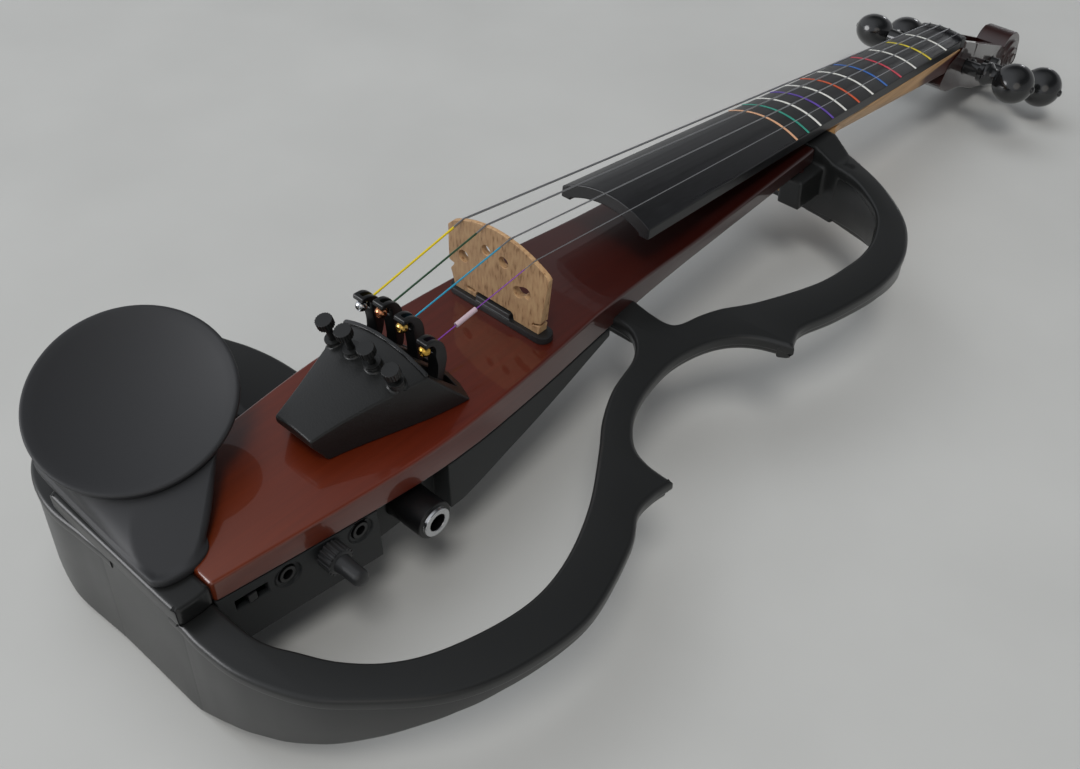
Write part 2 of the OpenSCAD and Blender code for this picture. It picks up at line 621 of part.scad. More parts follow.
function knurl(r, n) = [for (k = [0:2 * n - 1]) (k % 2 == 0 ? r : r - 0.28) * [cos(k * 180 / n), sin(k * 180 / n)]];
module tuner_screw(i) on_screw(i) {
  knob_at = crown_above(i) + bush_h + collar_h + knob_lift[i];
  translate([0, 0, screw_r]) cylinder(h = knob_at + knob_h / 2 - screw_r, r = screw_r);
  translate([0, 0, screw_r]) sphere(r = screw_r);
  translate([0, 0, knob_at]) linear_extrude(knob_h) polygon(knurl(knob_r, 20));
  translate([0, 0, knob_at - 1.2]) cylinder(h = 1.2, r1 = screw_r + 0.3, r2 = knob_r - 0.8);
}

// ---- Frame ----
lower_bout = [[20, tail_y + 0.5], [31, tail_y], [47, tail_y + 1.8], [65, tail_y + 8.8], [78, tail_y + 19],
  [93, tail_y + 35], [bout_half - 4.5, tail_y + 52], [bout_half, tail_y + 74], [bout_half - 1, tail_y + 90],
  [bout_half - 8, tail_y + 112], [91.4, -33], [90.3, -24], [91.4, -15.5]];
waist = [[91.4, -15.5], [81.5, -15], [73.5, -12.2], [67, -6], [61.5, 3], [57.8, 15], [56, 30],
  [58.3, 44], [63.4, 54.2], [71.5, 61], [84, 65.5]];
upper_bout = [[84, 65.5], [81.5, 70], [80, 78], [84.5, 94], [88.3, 117], [86.9, 135.5], [81.5, 150.4],
  [71.5, 164.3], [53.6, 178.3], [36, 187], [21, yoke_front]];
lower_window = [[20, -144.2], [40, -143.4], [53, -138], [64, -132], [74, -123], [81.6, -110.6], [87.5, -92],
  [89, -76], [85.5, -59], [77, -40], [64.6, -21], [56, -9], [49, 5], [43.7, 23], [34, 32.5], [20, 33.5]];
upper_window = [[20, 48.4], [33, 46], [41.5, 45.7], [45, 48.7], [47.5, 57.8], [51, 66], [59, 79],
  [69, 103], [72, 122], [72, 133], [69.5, 144], [63, 157], [53, 166.5], [39, 174.5], [20, 178]];
frame_edge = joined(joined(curve(lower_bout), curve(waist)), curve(upper_bout));
frame_plan = concat(frame_edge, reversed(curve(upper_window)), reversed(curve(lower_window)));
function band(p, d) = concat(p, reversed(inset(p, d)));
wall_bands = [band(curve([for (k = [0:9]) lower_bout[k]]), frame_wall),
  band(curve([for (k = [1:9]) waist[k]]), frame_wall), band(curve([for (k = [2:10]) upper_bout[k]]), frame_wall)];
belly = concat([[tail_y - 10, 20], [tail_y - 10, -tail_drop + 2]],
  curve([[tail_y + 1, -tail_drop + 2], [-152, -44], [-146, -37.5], [-128, -32], [-104, -27], [-78, -21.5],
    [-40, -19.5], [20, -19], [80, -19], [120, -20.5], [148, -26], [168, -35], [182, -42], [194, -heel_drop]]),
  [[230, -heel_drop], [230, 20]]);
// Each lug below the body: its corners in plan and its depth
lugs = [[[9, 34.5], [34, 46.5], 5], [[14.5, 160], [25.5, 180], 14]];
module lug(p) block([p[0][0], p[0][1], body_floor - p[2]], [p[1][0], p[1][1], body_floor]);
yoke_half = 21.5;
yoke_top = -7.2;
yoke_end = 30;
yoke_plan = [[-yoke_half, body_front], [yoke_end, body_front], [yoke_end, yoke_front - 3.3], [21, yoke_front],
  [-yoke_half + 4.5, yoke_front], [-yoke_half, yoke_front - 4.5]];
yoke_section = [[-yoke_half, -80], [-yoke_half, yoke_top - 1.8], [-yoke_half + 2, yoke_top],
  [yoke_half - 2, yoke_top], [yoke_half, yoke_top - 0.8], [yoke_end, -frame_top], [yoke_end, -80]];
module yoke() intersection() {
  plan(yoke_plan, -80, 0);
  translate([0, yoke_front + over, 0]) rotate([90, 0, 0]) linear_extrude(yoke_t + 4) polygon(yoke_section);
  side(belly, -60, 60);
}
module treble_frame() color("#2b2c2d") difference() {
  union() {
    intersection() {
      plan(frame_plan, -frame_top - flange_t, -frame_top);
      side(belly, 0, 120);
    }
    intersection() {
      for (p = wall_bands) plan(p, -80, -frame_top);
      side(belly, 0, 120);
    }
    intersection() {
      plan(frame_plan, -80, -frame_top);
      block([0, body_front - 5, -heel_drop], [34, yoke_front, -frame_top]);
    }
    for (p = lugs) lug(p);
    yoke();
  }
  body_solid();
  neck_heel();
  block([0, -200, -80], [tail_half, -140, 20]);
  for (p = lug_screw) translate([p[0], p[1], -60]) cylinder(h = 60, r = 1.5 + turn_gap);
}
wing_front = [[28, -63], [48, -63.8], [62, -66.3], [75, -70.5], [88, -73.5], [98, -75], [bout_half - 2, -79],
  [bout_half, tail_y + 74]];
wing_edge = mirrored(joined(reversed(curve(wing_front)), [[28, -63]]));
wing_outer = mirrored(curve([for (k = [0:7]) lower_bout[k]]));
wing_inner = [[-28, -90], [-36, -92], [-44, -98], [-48, -108], [-46, -120], [-38, -132], [-28, -139], [-20, -144.2]];
wing_plan = concat(wing_outer, reversed([for (p = mirrored(curve(wing_front))) p]), curve(wing_inner));
wing_wall = band(wing_outer, -frame_wall);
module bass_wing() color("#2b2c2d") difference() {
  union() {
    intersection() {
      plan(wing_plan, -frame_top - flange_t, -frame_top);
      side(belly, -120, 0);
    }
    intersection() {
      plan(wing_wall, -80, -frame_top);
      side(belly, -120, 0);
    }
  }
  body_solid();
  block([-tail_half, -200, -80], [0, -140, 20]);
  housing_outside();
  for (p = chin_screws) translate([p[0], p[1], -60]) cylinder(h = 60, r = 1.5 + turn_gap);
}

// ---- Tail block and chin rest ----
bar_top = -4.5;
bar_from = -62;
bar_to = 22;
chin_screws = [[-42, -146], [-28, -146]];
module tail_block() color("#262728") difference() {
  union() {
    block([-tail_half, tail_y + 0.5, -tail_drop - 1], [tail_half, tail_y + 0.5 + tail_block_t, -frame_top]);
    block([bar_from, tail_y + 0.5, -frame_top], [bar_to, tail_y + 0.5 + tail_block_t, bar_top]);
  }
  for (x = [-tail_screw_x, tail_screw_x]) {
    along_y(tail_y - over, -body_tail + over, x, tail_screw_z, 1.5 + turn_gap);
    along_y(tail_y - over, tail_y + 2.8, x, tail_screw_z, 3);
  }
  under_floor();
  for (p = chin_screws) translate([p[0], p[1], -60]) cylinder(h = 60, r = 1.5 + turn_gap);
}

base_t = 3;
module cup_disc(r, t) translate(cup_at) rotate([0, 0, cup_turn]) rotate([0, cup_tilt, 0])
  translate([0, 0, -t]) cylinder(h = t, r = r, $fn = 64);
chin_neck_at = [-33, -136, bar_top + 9];
chin_neck_r = 19;
module chin_neck() translate(chin_neck_at) cylinder(h = 1, r = chin_neck_r, $fn = 48);
// Corners of the rest's foot: place and radius
chin_feet = [[-57, -152, 3], [9.5, -151.5, 3.5], [8, -139, 5], [-52, -139, 5]];
module chin_base() for (p = chin_feet) translate([p[0], p[1], bar_top]) cylinder(h = base_t, r = p[2], $fn = 24);
module chin_rest() color("#28292a") difference() {
  union() {
    hull() {
      chin_base();
      chin_neck();
    }
    hull() {
      chin_neck();
      cup_disc(cup_r, 3);
    }
  }
  dish_r = (cup_r * cup_r + dish_depth * dish_depth) / (2 * dish_depth);
  translate(cup_at) rotate([0, 0, cup_turn]) rotate([0, cup_tilt, 0])
    translate([0, 0, dish_r - dish_depth]) sphere(r = dish_r - 0.6, $fn = 96);
  for (p = chin_screws) translate([p[0], p[1], bar_top - over]) cylinder(h = 6 + over, r = 1.5 + turn_gap);
  body_solid();
}
module screw_up(p, from, to) {
  translate([p[0], p[1], from]) cylinder(h = to - from, r = 1.5);
  translate([p[0], p[1], from - 2]) difference() {
    cylinder(h = 2, r = 2.8);
    translate([-0.4, -2, -over]) cube([0.8, 4, over + 0.8]);
  }
}
module chin_rest_screws() color("#9a9c9f") for (p = chin_screws) screw_up(p, -frame_top - flange_t, bar_top + 5);
module frame_screws() color("#9a9c9f") {
  for (k = [0, 1]) screw_up(lug_screw[k], body_floor - lugs[k][2], body_floor + 5);
  for (x = [-tail_screw_x, tail_screw_x]) {
    along_y(tail_y + 2, -body_tail + 13, x, tail_screw_z, 1.5);
    along_y(tail_y + 0.9, tail_y + 2.8, x, tail_screw_z, 2.8);
  }
}

// ---- Control housing ----
housing_rear = -body_tail;
housing_front = 32;
housing_profile = concat([[housing_rear, -housing_drop]],
  [for (y = [housing_rear, floor_bend, housing_front]) [y, body_under(y)]],
  [[housing_front, body_floor - 4], [-30, -housing_drop + 5], [-52, -housing_drop]]);
notch = [-87, -58];
notch_x = 23;
control_z = -18.4;
phones_y = -120.5;
volume_y = -106.5;
aux_y = -94;
switch_y = -133;
line_y = -72;
line_z = -24.5;
line_face = 40;
door_at = [-8, -82];
door_t = 1.6;
door_z = -housing_drop + 0.6;
bay_wall = 1.5;
cell_z = door_z + door_t + 0.6 + cell_r;
cell_x = [door_at[0] - cell_r - 0.3, door_at[0] + cell_r + 0.3];
contact_t = 0.8;
bay = [4 * cell_r + 2.4, cell_len + 2 * contact_t + 2];
post_at = [[17.5, -136], [17.5, -92], [9, -92], [9, -107]];
module housing_outside() intersection() {
  plan(body_plan, -60, 0);
  side(housing_profile, -60, 60);
}
module housing_inside() intersection() {
  plan(plan_of([for (p = body_side) p - [shell, 0]]), -60, 0);
  side([[housing_rear + shell, -housing_drop + shell], [housing_rear + shell, 0], [20, 0],
    [20, body_floor - 1.5], [-31, -housing_drop + 5 + shell], [-53, -housing_drop + shell]], -60, 60);
}
module panel_bore(y, z, r) along_x(10, 50, y, z, r);
module bay_block(grow, low, high) translate([door_at[0], door_at[1], low])
  linear_extrude(high - low) square([bay[0] + 2 * grow, bay[1] + 2 * grow], center = true);
module control_housing() color("#303132") difference() {
  union() {
    difference() {
      housing_outside();
      housing_inside();
    }
    intersection() {
      housing_outside();
      union() {
        block([notch_x - shell, notch[0] - shell, -60], [60, notch[1] + shell, 0]);
        block([door_at[0] - door_w / 2 - 3, door_at[1] - door_len / 2 - 3, -60],
          [door_at[0] + door_w / 2 + 3, door_at[1] + door_len / 2 + 3, -housing_drop + shell + 2]);
        bay_block(bay_wall, -60, cell_z + cell_r + bay_wall);
      }
    }
    for (p = post_at) translate([p[0], p[1], -housing_drop + 1]) cylinder(h = board_z - board_t + housing_drop - 1, r = 2);
  }
  block([notch_x, notch[0], -60], [60, notch[1], 0]);
  door_space(seam, 20);
  bay_block(0, -60, cell_z + cell_r);
  for (y = [phones_y, aux_y]) {
    panel_bore(y, control_z, 3.2);
    along_x(panel_x(y) - 0.7, 60, y, control_z, 4.6);
  }
  panel_bore(volume_y, control_z, 2.6);
  panel_bore(line_y, line_z, line_barrel_r + 0.05);
  block([10, switch_y - 5.5, control_z - 2.2], [60, switch_y + 5.5, control_z + 2.2]);
  translate([door_at[0], door_at[1], -60]) linear_extrude(60 + door_z)
    translate([-door_w / 2 + 1.2, -door_len / 2 - seam]) square([door_w - 2.4, door_len + 30]);
  body_solid();
}
function panel_x(y) = body_half - 2.3 - 0.125 * (-88 - y);
module door_space(gap, travel) block([door_at[0] - door_w / 2 - gap, door_at[1] - door_len / 2 - gap, door_z - gap],
  [door_at[0] + door_w / 2 + gap, door_at[1] + door_len / 2 + gap + travel, door_z + door_t + gap]);
module battery_door() color("#333435") {
  door_space(0, 0);
  block([door_at[0] - door_w / 2 + 1.5, door_at[1] - door_len / 2, -housing_drop],
    [door_at[0] + door_w / 2 - 1.5, door_at[1] + door_len / 2, door_z]);
  for (k = [0:4]) block([door_at[0] - 8, door_at[1] + 12 + 3 * k, -housing_drop - 0.4],
    [door_at[0] + 8, door_at[1] + 13 + 3 * k, -housing_drop]);
}
module batteries() color("#3f6b4a") for (k = [0, 1]) {
  along_y(door_at[1] - cell_len / 2, door_at[1] + cell_len / 2, cell_x[k], cell_z, cell_r);
  tip = door_at[1] + (k == 0 ? cell_len / 2 : -cell_len / 2 - 1);
  along_y(tip, tip + 1, cell_x[k], cell_z, 2);
}
module battery_contacts() color("#c9b27a") for (s = [-1, 1])
  translate([door_at[0], door_at[1] + s * (bay[1] - contact_t) / 2, cell_z])
    cube([bay[0], contact_t, 1.4 * cell_r], center = true);

board_z = control_z - 6;
board_t = 1.6;
board_plan_box = [[6, -139], [19.8, -88]];
chip_y = [-135, -127, -114];
chip_w = 5.5;
module circuit_board() color("#1f5a37") {
  block(concat(board_plan_box[0], board_z - board_t), concat(board_plan_box[1], board_z));
  for (y = chip_y) block([7.5, y - chip_w / 2, board_z - 2 * board_t], [7.5 + chip_w, y + chip_w / 2, board_z - board_t]);
  block([9.5, switch_y - 5, board_z], [14.4, switch_y + 5, control_z + 2.4]);
}
module power_switch() color("#1e1f20") {
  block([16.5, switch_y - 1.6, control_z - 1.7], [panel_x(switch_y) + 0.4, switch_y + 1.6, control_z + 1.7]);
  block([14.5, switch_y - 1.6, control_z - 1.2], [16.5, switch_y + 1.6, control_z + 1.2]);
}
module volume_pot() color("#8f9295") difference() {
  block([11, volume_y - 4.8, board_z], [19.5, volume_y + 4.8, control_z + 4]);
  panel_bore(volume_y, control_z, 1.5 + turn_gap);
}
module volume_knob() color("#2f3031") {
  x = panel_x(volume_y + 5) + 0.5;
  along_x(12, x, volume_y, control_z, 1.5);
  translate([x, volume_y, control_z]) rotate([0, 90, 0]) linear_extrude(3.5) polygon(knurl(5, 18));
  along_x(x + 3.5, x + volume_len - 1, volume_y, control_z, volume_r);
  translate([x + volume_len - 1, volume_y, control_z]) rotate([0, 90, 0])
    cylinder(h = 1, r1 = volume_r, r2 = volume_r - 1);
}
module mini_socket(y) difference() {
  union() {
    block([panel_x(y) - 16, y - 3.6, board_z], [panel_x(y) - 3.4, y + 3.6, control_z + 3.8]);
    along_x(panel_x(y) - 3.4, panel_x(y) - 0.2, y, control_z, 3);
  }
  along_x(panel_x(y) - 14.5, 60, y, control_z, mini_bore_r);
}
module line_out_socket() color("#b9bbbe") difference() {
  union() {
    along_x(12, line_face - 1.4, line_y, line_z, line_barrel_r);
    along_x(line_face - 1.4, line_face, line_y, line_z, line_barrel_r - 1.6);
  }
  along_x(14, 60, line_y, line_z, line_bore_r);
}

// ---- Pieces ----
seat() body();
seat() neck();
seat() head();
seat() fingerboard();
seat() fingering_tapes();
seat() nut();
seat() color("#1c1c1d") peg(G);  // g_peg
seat() color("#1c1c1d") peg(D);  // d_peg
seat() color("#1c1c1d") peg(A);  // a_peg
seat() color("#1c1c1d") peg(E);  // e_peg
seat() color("#b8b2a2") winding(G);  // g_winding
seat() color("#b9bbbe") winding(D);  // d_winding
seat() color("#b9bbbe") winding(A);  // a_winding
seat() color("#b9bbbe") winding(E);  // e_winding
seat() color("#b8b2a2") string_path(G, string_r[G]);  // g_string
seat() color("#b9bbbe") string_path(D, string_r[D]);  // d_string
seat() color("#b9bbbe") string_path(A, string_r[A]);  // a_string
seat() color("#c9cbce") string_path(E, string_r[E]);  // e_string
seat() e_string_sleeve();
seat() bridge();
seat() pickup_bar();
seat() tailpiece();
seat() tailpiece_ridge();
seat() tuner_axle();
seat() color("#202122") lever(G);  // g_tuner_lever
seat() color("#202122") lever(D);  // d_tuner_lever
seat() color("#202122") lever(A);  // a_tuner_lever
seat() color("#202122") lever(E);  // e_tuner_lever
seat() color("#c4c6c8") ball_end(G);  // g_ball_end
seat() color("#b26f4b") ball_end(D);  // d_ball_end
seat() color("#b5924a") ball_end(A);  // a_ball_end
seat() color("#c79a4a") ball_end(E);  // e_ball_end
seat() color("#4a4b4b") collar(G);  // g_tuner_collar
seat() color("#4a4b4b") collar(D);  // d_tuner_collar
seat() color("#4a4b4b") collar(A);  // a_tuner_collar
seat() color("#4a4b4b") collar(E);  // e_tuner_collar
seat() color("#4d4e4d") tuner_screw(G);  // g_tuner_screw
seat() color("#4d4e4d") tuner_screw(D);  // d_tuner_screw
seat() color("#4d4e4d") tuner_screw(A);  // a_tuner_screw
seat() color("#4d4e4d") tuner_screw(E);  // e_tuner_screw
seat() chin_rest();
seat() chin_rest_screws();
seat() tail_block();
seat() treble_frame();
seat() bass_wing();
seat() frame_screws();
seat() control_housing();
seat() battery_door();
seat() batteries();
seat() battery_contacts();
seat() circuit_board();
seat() power_switch();
seat() volume_pot();
seat() volume_knob();
seat() color("#3a3b3c") mini_socket(phones_y);  // phones_socket
seat() color("#3a3b3c") mini_socket(aux_y);  // aux_socket
seat() line_out_socket();
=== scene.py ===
import math
import bmesh
import bpy
from mathutils import Matrix, Vector
from mathutils.bvhtree import BVHTree
from mathutils.kdtree import KDTree


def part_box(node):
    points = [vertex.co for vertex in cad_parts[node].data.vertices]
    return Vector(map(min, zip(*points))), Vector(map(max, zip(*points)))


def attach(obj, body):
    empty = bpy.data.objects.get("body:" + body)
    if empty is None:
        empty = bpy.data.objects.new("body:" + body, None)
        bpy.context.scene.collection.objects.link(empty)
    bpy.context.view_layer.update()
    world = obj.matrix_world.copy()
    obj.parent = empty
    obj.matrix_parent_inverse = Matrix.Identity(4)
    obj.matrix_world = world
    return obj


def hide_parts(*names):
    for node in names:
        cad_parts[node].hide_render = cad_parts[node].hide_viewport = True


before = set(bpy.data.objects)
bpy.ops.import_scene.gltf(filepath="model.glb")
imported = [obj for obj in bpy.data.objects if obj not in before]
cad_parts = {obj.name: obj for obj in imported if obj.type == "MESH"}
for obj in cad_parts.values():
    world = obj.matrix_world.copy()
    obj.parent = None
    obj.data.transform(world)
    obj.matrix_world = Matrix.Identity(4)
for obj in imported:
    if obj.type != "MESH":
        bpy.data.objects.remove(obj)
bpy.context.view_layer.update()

# ---- Table, light and viewpoint ----
# The violin lies on a pale grey table top. A lamp hangs high behind the viewer's right shoulder, soft
# daylight comes in from the left, and a small window stands behind the table.

# The violin's own axes are X to the E string, Y from the bridge to the scroll and Z up from the top
# plate. It lies tipped by 1.42 degrees on its tail block and its scroll. These place its bridge, in mm.
LYING_TILT = math.radians(1.418173)
BRIDGE_BACK, BRIDGE_UP = -132.9063, 61.8595

def at(x, y, z):
    """A point given in the violin's own axes, in millimetres, as it lies, in metres."""
    c, s = math.cos(LYING_TILT), math.sin(LYING_TILT)
    return Vector((x, y * c - z * s + BRIDGE_BACK, y * s + z * c + BRIDGE_UP)) / 1000

def hue(code):
    """An sRGB colour written as six hex figures, as the linear colour that a shader takes."""
    parts = [int(code[k:k + 2], 16) / 255 for k in (0, 2, 4)]
    return tuple(p / 12.92 if p <= 0.04045 else ((p + 0.055) / 1.055) ** 2.4 for p in parts) + (1.0,)

def add(tree, kind, settings=None, inputs=None, stops=None):
    """Adds a node with its settings, its ramp's stops, and its inputs or the sockets that feed them."""
    made = tree.nodes.new(kind)
    for name, value in (settings or {}).items():
        setattr(made, name, value)
    for name, value in (inputs or {}).items():
        if isinstance(value, bpy.types.NodeSocket):
            tree.links.new(value, made.inputs[name])
        else:
            made.inputs[name].default_value = value
    if stops:
        ramp = made.color_ramp
        while len(ramp.elements) < len(stops):
            ramp.elements.new(1.0)
        for element, (place, code) in zip(ramp.elements, stops):
            element.position = place
            element.color = hue(code) if isinstance(code, str) else (code, code, code, 1)
    return made

def finish_of(name, **sockets):
    """A new finish: its material, node tree, shader and object coordinates in metres."""
    skin = bpy.data.materials.new(name)
    skin.use_nodes = True
    tree = skin.node_tree
    shader = tree.nodes["Principled BSDF"]
    for socket, value in sockets.items():
        shader.inputs[socket.replace("_", " ")].default_value = value
    return skin, tree, shader, add(tree, "ShaderNodeTexCoord").outputs["Object"]

# Painted table top: pale neutral grey without shine, with a faint mottle from its sprayed coat.
TABLE_SIDE = 12
MOTTLE_SCALE = 9.0
table_paint, tree, shader, place = finish_of("sprayed_table_top", Roughness=0.6)
mottle = add(tree, "ShaderNodeTexNoise", inputs={"Vector": place, "Scale": MOTTLE_SCALE, "Detail": 4.0})
tint = add(tree, "ShaderNodeValToRGB", inputs={"Fac": mottle.outputs["Fac"]},
    stops=[(0.3, "b6b7b5"), (0.7, "bdbebc")])
tree.links.new(tint.outputs["Color"], shader.inputs["Base Color"])
bpy.ops.mesh.primitive_plane_add(size=TABLE_SIDE, location=(0, 0, 0))
table = bpy.context.object
table.name = "table_top"
table.data.materials.append(table_paint)

# Each lamp has its place and width in metres, its power in watts and its colour, then whether it
# shows in gloss, and whether it lights matt surfaces.
LAMPS = {
    "room_light": ((1.1, -1.55, 3.6), 1.3, 62, "fbf8f4", False, True),
    "skylight": ((-0.7, -0.2, 2.0), 1.8, 15, "f6f8fa", False, True),
    "window_behind": ((-0.58, 2.9, 0.55), 0.3, 1.4, "f6f8fa", True, False),
    "room_front_left": ((-1.5, -2.0, 0.75), 1.5, 34, "f8f8fa", True, False),
    "room_front": ((1.2, -1.5, 1.1), 1.4, 3, "fff6ea", True, True),
}
LAMP_AIM = Vector((0, -0.05, 0.03))
for name, (place, width, power, colour, in_gloss, on_matt) in LAMPS.items():
    lamp = bpy.data.lights.new(name, "AREA")
    lamp.shape = "DISK"
    lamp.size = width
    lamp.energy = power
    lamp.color = hue(colour)[:3]
    holder = bpy.data.objects.new(name, lamp)
    bpy.context.scene.collection.objects.link(holder)
    holder.location = place
    holder.visible_glossy = in_gloss
    holder.visible_diffuse = on_matt
    holder.rotation_euler = (LAMP_AIM - Vector(place)).to_track_quat("-Z", "Y").to_euler()

# The room: pale walls low down, a dim band above them, a paler ceiling, and a light side at the front
# left. Its colours go by height, from 0 straight down through 0.5 at the horizon to 1 straight up.
ROOM_BY_HEIGHT = [(0.5, "9fa0a2"), (0.72, "8a8b8d"), (0.79, "4a4b4d"), (0.9, "3c3d3f"), (1.0, "8a8b8d")]
LIGHT_SIDE_WAY = (-0.6, -0.75, 0.28)
LIGHT_SIDE_START, LIGHT_SIDE_FULL = 0.05, 0.8
ROOM_STRENGTH = 1.1
room = bpy.data.worlds.new("room")
bpy.context.scene.world = room
room.use_nodes = True
tree = room.node_tree
view = add(tree, "ShaderNodeTexCoord").outputs["Generated"]
upward = add(tree, "ShaderNodeSeparateXYZ", inputs={"Vector": view}).outputs["Z"]
height = add(tree, "ShaderNodeMapRange", inputs={"Value": upward, "From Min": -1.0, "From Max": 1.0})
walls = add(tree, "ShaderNodeValToRGB", inputs={"Fac": height.outputs["Result"]}, stops=ROOM_BY_HEIGHT)
facing = add(tree, "ShaderNodeVectorMath", {"operation": "DOT_PRODUCT"}, {0: view, 1: LIGHT_SIDE_WAY})
light_side = add(tree, "ShaderNodeMapRange", {"interpolation_type": "SMOOTHSTEP"},
    {"Value": facing.outputs["Value"], "From Min": LIGHT_SIDE_START, "From Max": LIGHT_SIDE_FULL})
sky = add(tree, "ShaderNodeMix", {"data_type": "RGBA"},
    {"Factor": light_side.outputs["Result"], "B": hue("c8cbd0")})
tree.links.new(walls.outputs["Color"], sky.inputs["A"])
tree.links.new(sky.outputs["Result"], tree.nodes["Background"].inputs["Color"])
tree.nodes["Background"].inputs["Strength"].default_value = ROOM_STRENGTH
bpy.context.scene.view_settings.view_transform = "Standard"

VIEWER_PLACE = (0.23506, -0.37630, 0.33263)
VIEWER_RIGHT = Vector((0.7387, 0.6738, 0.0166)).normalized()
VIEWER_UP = Vector((-0.4630, 0.4895, 0.7390)).normalized()
SENSOR_WIDTH, LENS, NEAREST = 36, 40.09, 0.01
viewer = bpy.data.cameras.new("viewer")
viewer.sensor_width = SENSOR_WIDTH
viewer.lens = LENS
viewer.clip_start = NEAREST
camera = bpy.data.objects.new("viewer", viewer)
bpy.context.scene.collection.objects.link(camera)
facing_it = Matrix((VIEWER_RIGHT, VIEWER_UP, VIEWER_RIGHT.cross(VIEWER_UP))).transposed().to_4x4()
camera.matrix_world = Matrix.Translation(VIEWER_PLACE) @ facing_it
bpy.context.scene.camera = camera

# ---- Body ----
# A slim slab of spruce and maple, shaped on a router, stained red-brown, with a painted glow of light that
# makes its tail end warmer and lighter, and finished in a thick clear polyester lacquer that is flatted and
# polished.

# Corners nearer than MERGE, in metres, are one, and so are faces that turn by less than FLAT_ANGLE. The
# cells of a wide flat are FLAT_CELL mm wide, and the first cut stands off the axis by CELL_START of one.
MERGE, FLAT_ANGLE = 2e-6, math.radians(0.4)
FLAT_CELL, CELL_START = 30, 0.37
# How far a round may carry a corner, lift off the surface and pass the box: metres for each millimetre
# of its radius.
CARRY, LIFT, PASS = 0.004, 0.0007, 0.0001

def eased(name, radius, steps=3, sharp=30, rounded=True):
    """A copy of a piece whose sharp edges are rounded over, as sanding or moulding leaves them. It
    stands for that piece. The radius is in millimetres, and an edge is sharp past so many degrees.
    An edge isn't rounded where its round would run off the piece. Wide flats are cut into cells."""
    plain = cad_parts[name].data
    surface = BVHTree.FromPolygons([v.co for v in plain.vertices], [p.vertices for p in plain.polygons])
    low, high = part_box(name)
    kept_sharp, astray = set(), {0}
    while astray:
        shape = bmesh.new()
        shape.from_mesh(plain)
        bmesh.ops.remove_doubles(shape, verts=shape.verts, dist=MERGE)
        bmesh.ops.dissolve_limit(shape, angle_limit=FLAT_ANGLE, verts=shape.verts, edges=shape.edges)
        for axis in (0, 1):
            first, last = (math.ceil(edge[axis] * 1000 / FLAT_CELL) for edge in (low, high))
            for k in range(first, last):
                cut = Vector((axis == 0, axis == 1, 0))
                bmesh.ops.bisect_plane(shape, geom=shape.verts[:] + shape.edges[:] + shape.faces[:],
                    plane_co=cut * (k + CELL_START) * FLAT_CELL / 1000, plane_no=cut, dist=MERGE)
        home = shape.verts.layers.float_vector.new("home")
        corners = KDTree(len(shape.verts))
        for v in shape.verts:
            v[home] = v.co
            corners.insert(v.co, v.index)
        corners.balance()
        edges = [e for e in shape.edges
            if rounded and len(e.link_faces) == 2 and e.calc_face_angle(0) > math.radians(sharp)
            and not kept_sharp & {corners.find(v.co)[1] for v in e.verts}]
        bmesh.ops.bevel(shape, geom=edges, offset=radius / 1000, segments=steps, profile=0.5,
            affect="EDGES", clamp_overlap=False, harden_normals=False)
        home = shape.verts.layers.float_vector["home"]
        astray = {corners.find(v[home])[1] for v in shape.verts
            if (v.co - v[home]).length > CARRY * radius or surface.find_nearest(v.co)[3] > LIFT * radius
            or any(not low[k] - PASS * radius < v.co[k] < high[k] + PASS * radius for k in range(3))}
        astray -= kept_sharp
        kept_sharp |= astray
    shape.verts.layers.float_vector.remove(home)
    mesh = bpy.data.meshes.new(name + "_bevelled")
    shape.to_mesh(mesh)
    shape.free()
    mesh.shade_smooth()
    mesh.set_sharp_from_angle(angle=math.radians(sharp))
    piece = bpy.data.objects.new(name + "_eased", mesh)
    bpy.context.scene.collection.objects.link(piece)
    piece.modifiers.new("flats_stay_flat", "WEIGHTED_NORMAL").keep_sharp = True
    made = piece.evaluated_get(bpy.context.evaluated_depsgraph_get())
    shaded = bpy.data.meshes.new_from_object(made)
    piece.modifiers.clear()
    piece.data = shaded
    return piece

def fit(piece, skin, body, *nodes):
    """Gives a piece its finish, and puts it on its body in place of the plain nodes."""
    piece.data.materials.clear()
    piece.data.materials.append(skin)
    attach(piece, body)
    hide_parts(*nodes)
    return piece

def dress(skin, *names):
    """Gives plain nodes their finish."""
    for name in names:
        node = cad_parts[name]
        node.data.materials.clear()
        node.data.materials.append(skin)

# Lacquered spruce: a red-brown stain that darkens towards the scroll, and a painted glow of light that makes
# the tail end warmer and lighter, all under a clear coat as bright as glass. A line of grain comes every 1.6
# mm and runs for 60 mm.
SPRUCE_GRAIN = (620, 16, 620)
# The ramp runs from the tail, where its lightest orange is a painted glow of light, to the dark stain near
# the scroll.
STAIN_AND_TAIL_GLOW_BY_LENGTH = [(0.0, "642607"), (0.28, "5a1b08"), (0.55, "390f08"), (1.0, "260a07")]
STAIN_AND_GLOW_START, STAIN_AND_GLOW_END = -0.29, 0.06
lacquered_wood, tree, shader, place = finish_of("lacquered_spruce", Roughness=0.38, Coat_Weight=1.0,
    Coat_Roughness=0.035)
stretched = add(tree, "ShaderNodeMapping", inputs={"Vector": place, "Scale": SPRUCE_GRAIN})
grain = add(tree, "ShaderNodeTexNoise", inputs={"Vector": stretched.outputs["Vector"], "Scale": 1.0,
    "Detail": 5.0, "Roughness": 0.55, "Distortion": 0.3})
along = add(tree, "ShaderNodeSeparateXYZ", inputs={"Vector": place})
reach = add(tree, "ShaderNodeMapRange",
    inputs={"Value": along.outputs["Y"], "From Min": STAIN_AND_GLOW_START, "From Max": STAIN_AND_GLOW_END})
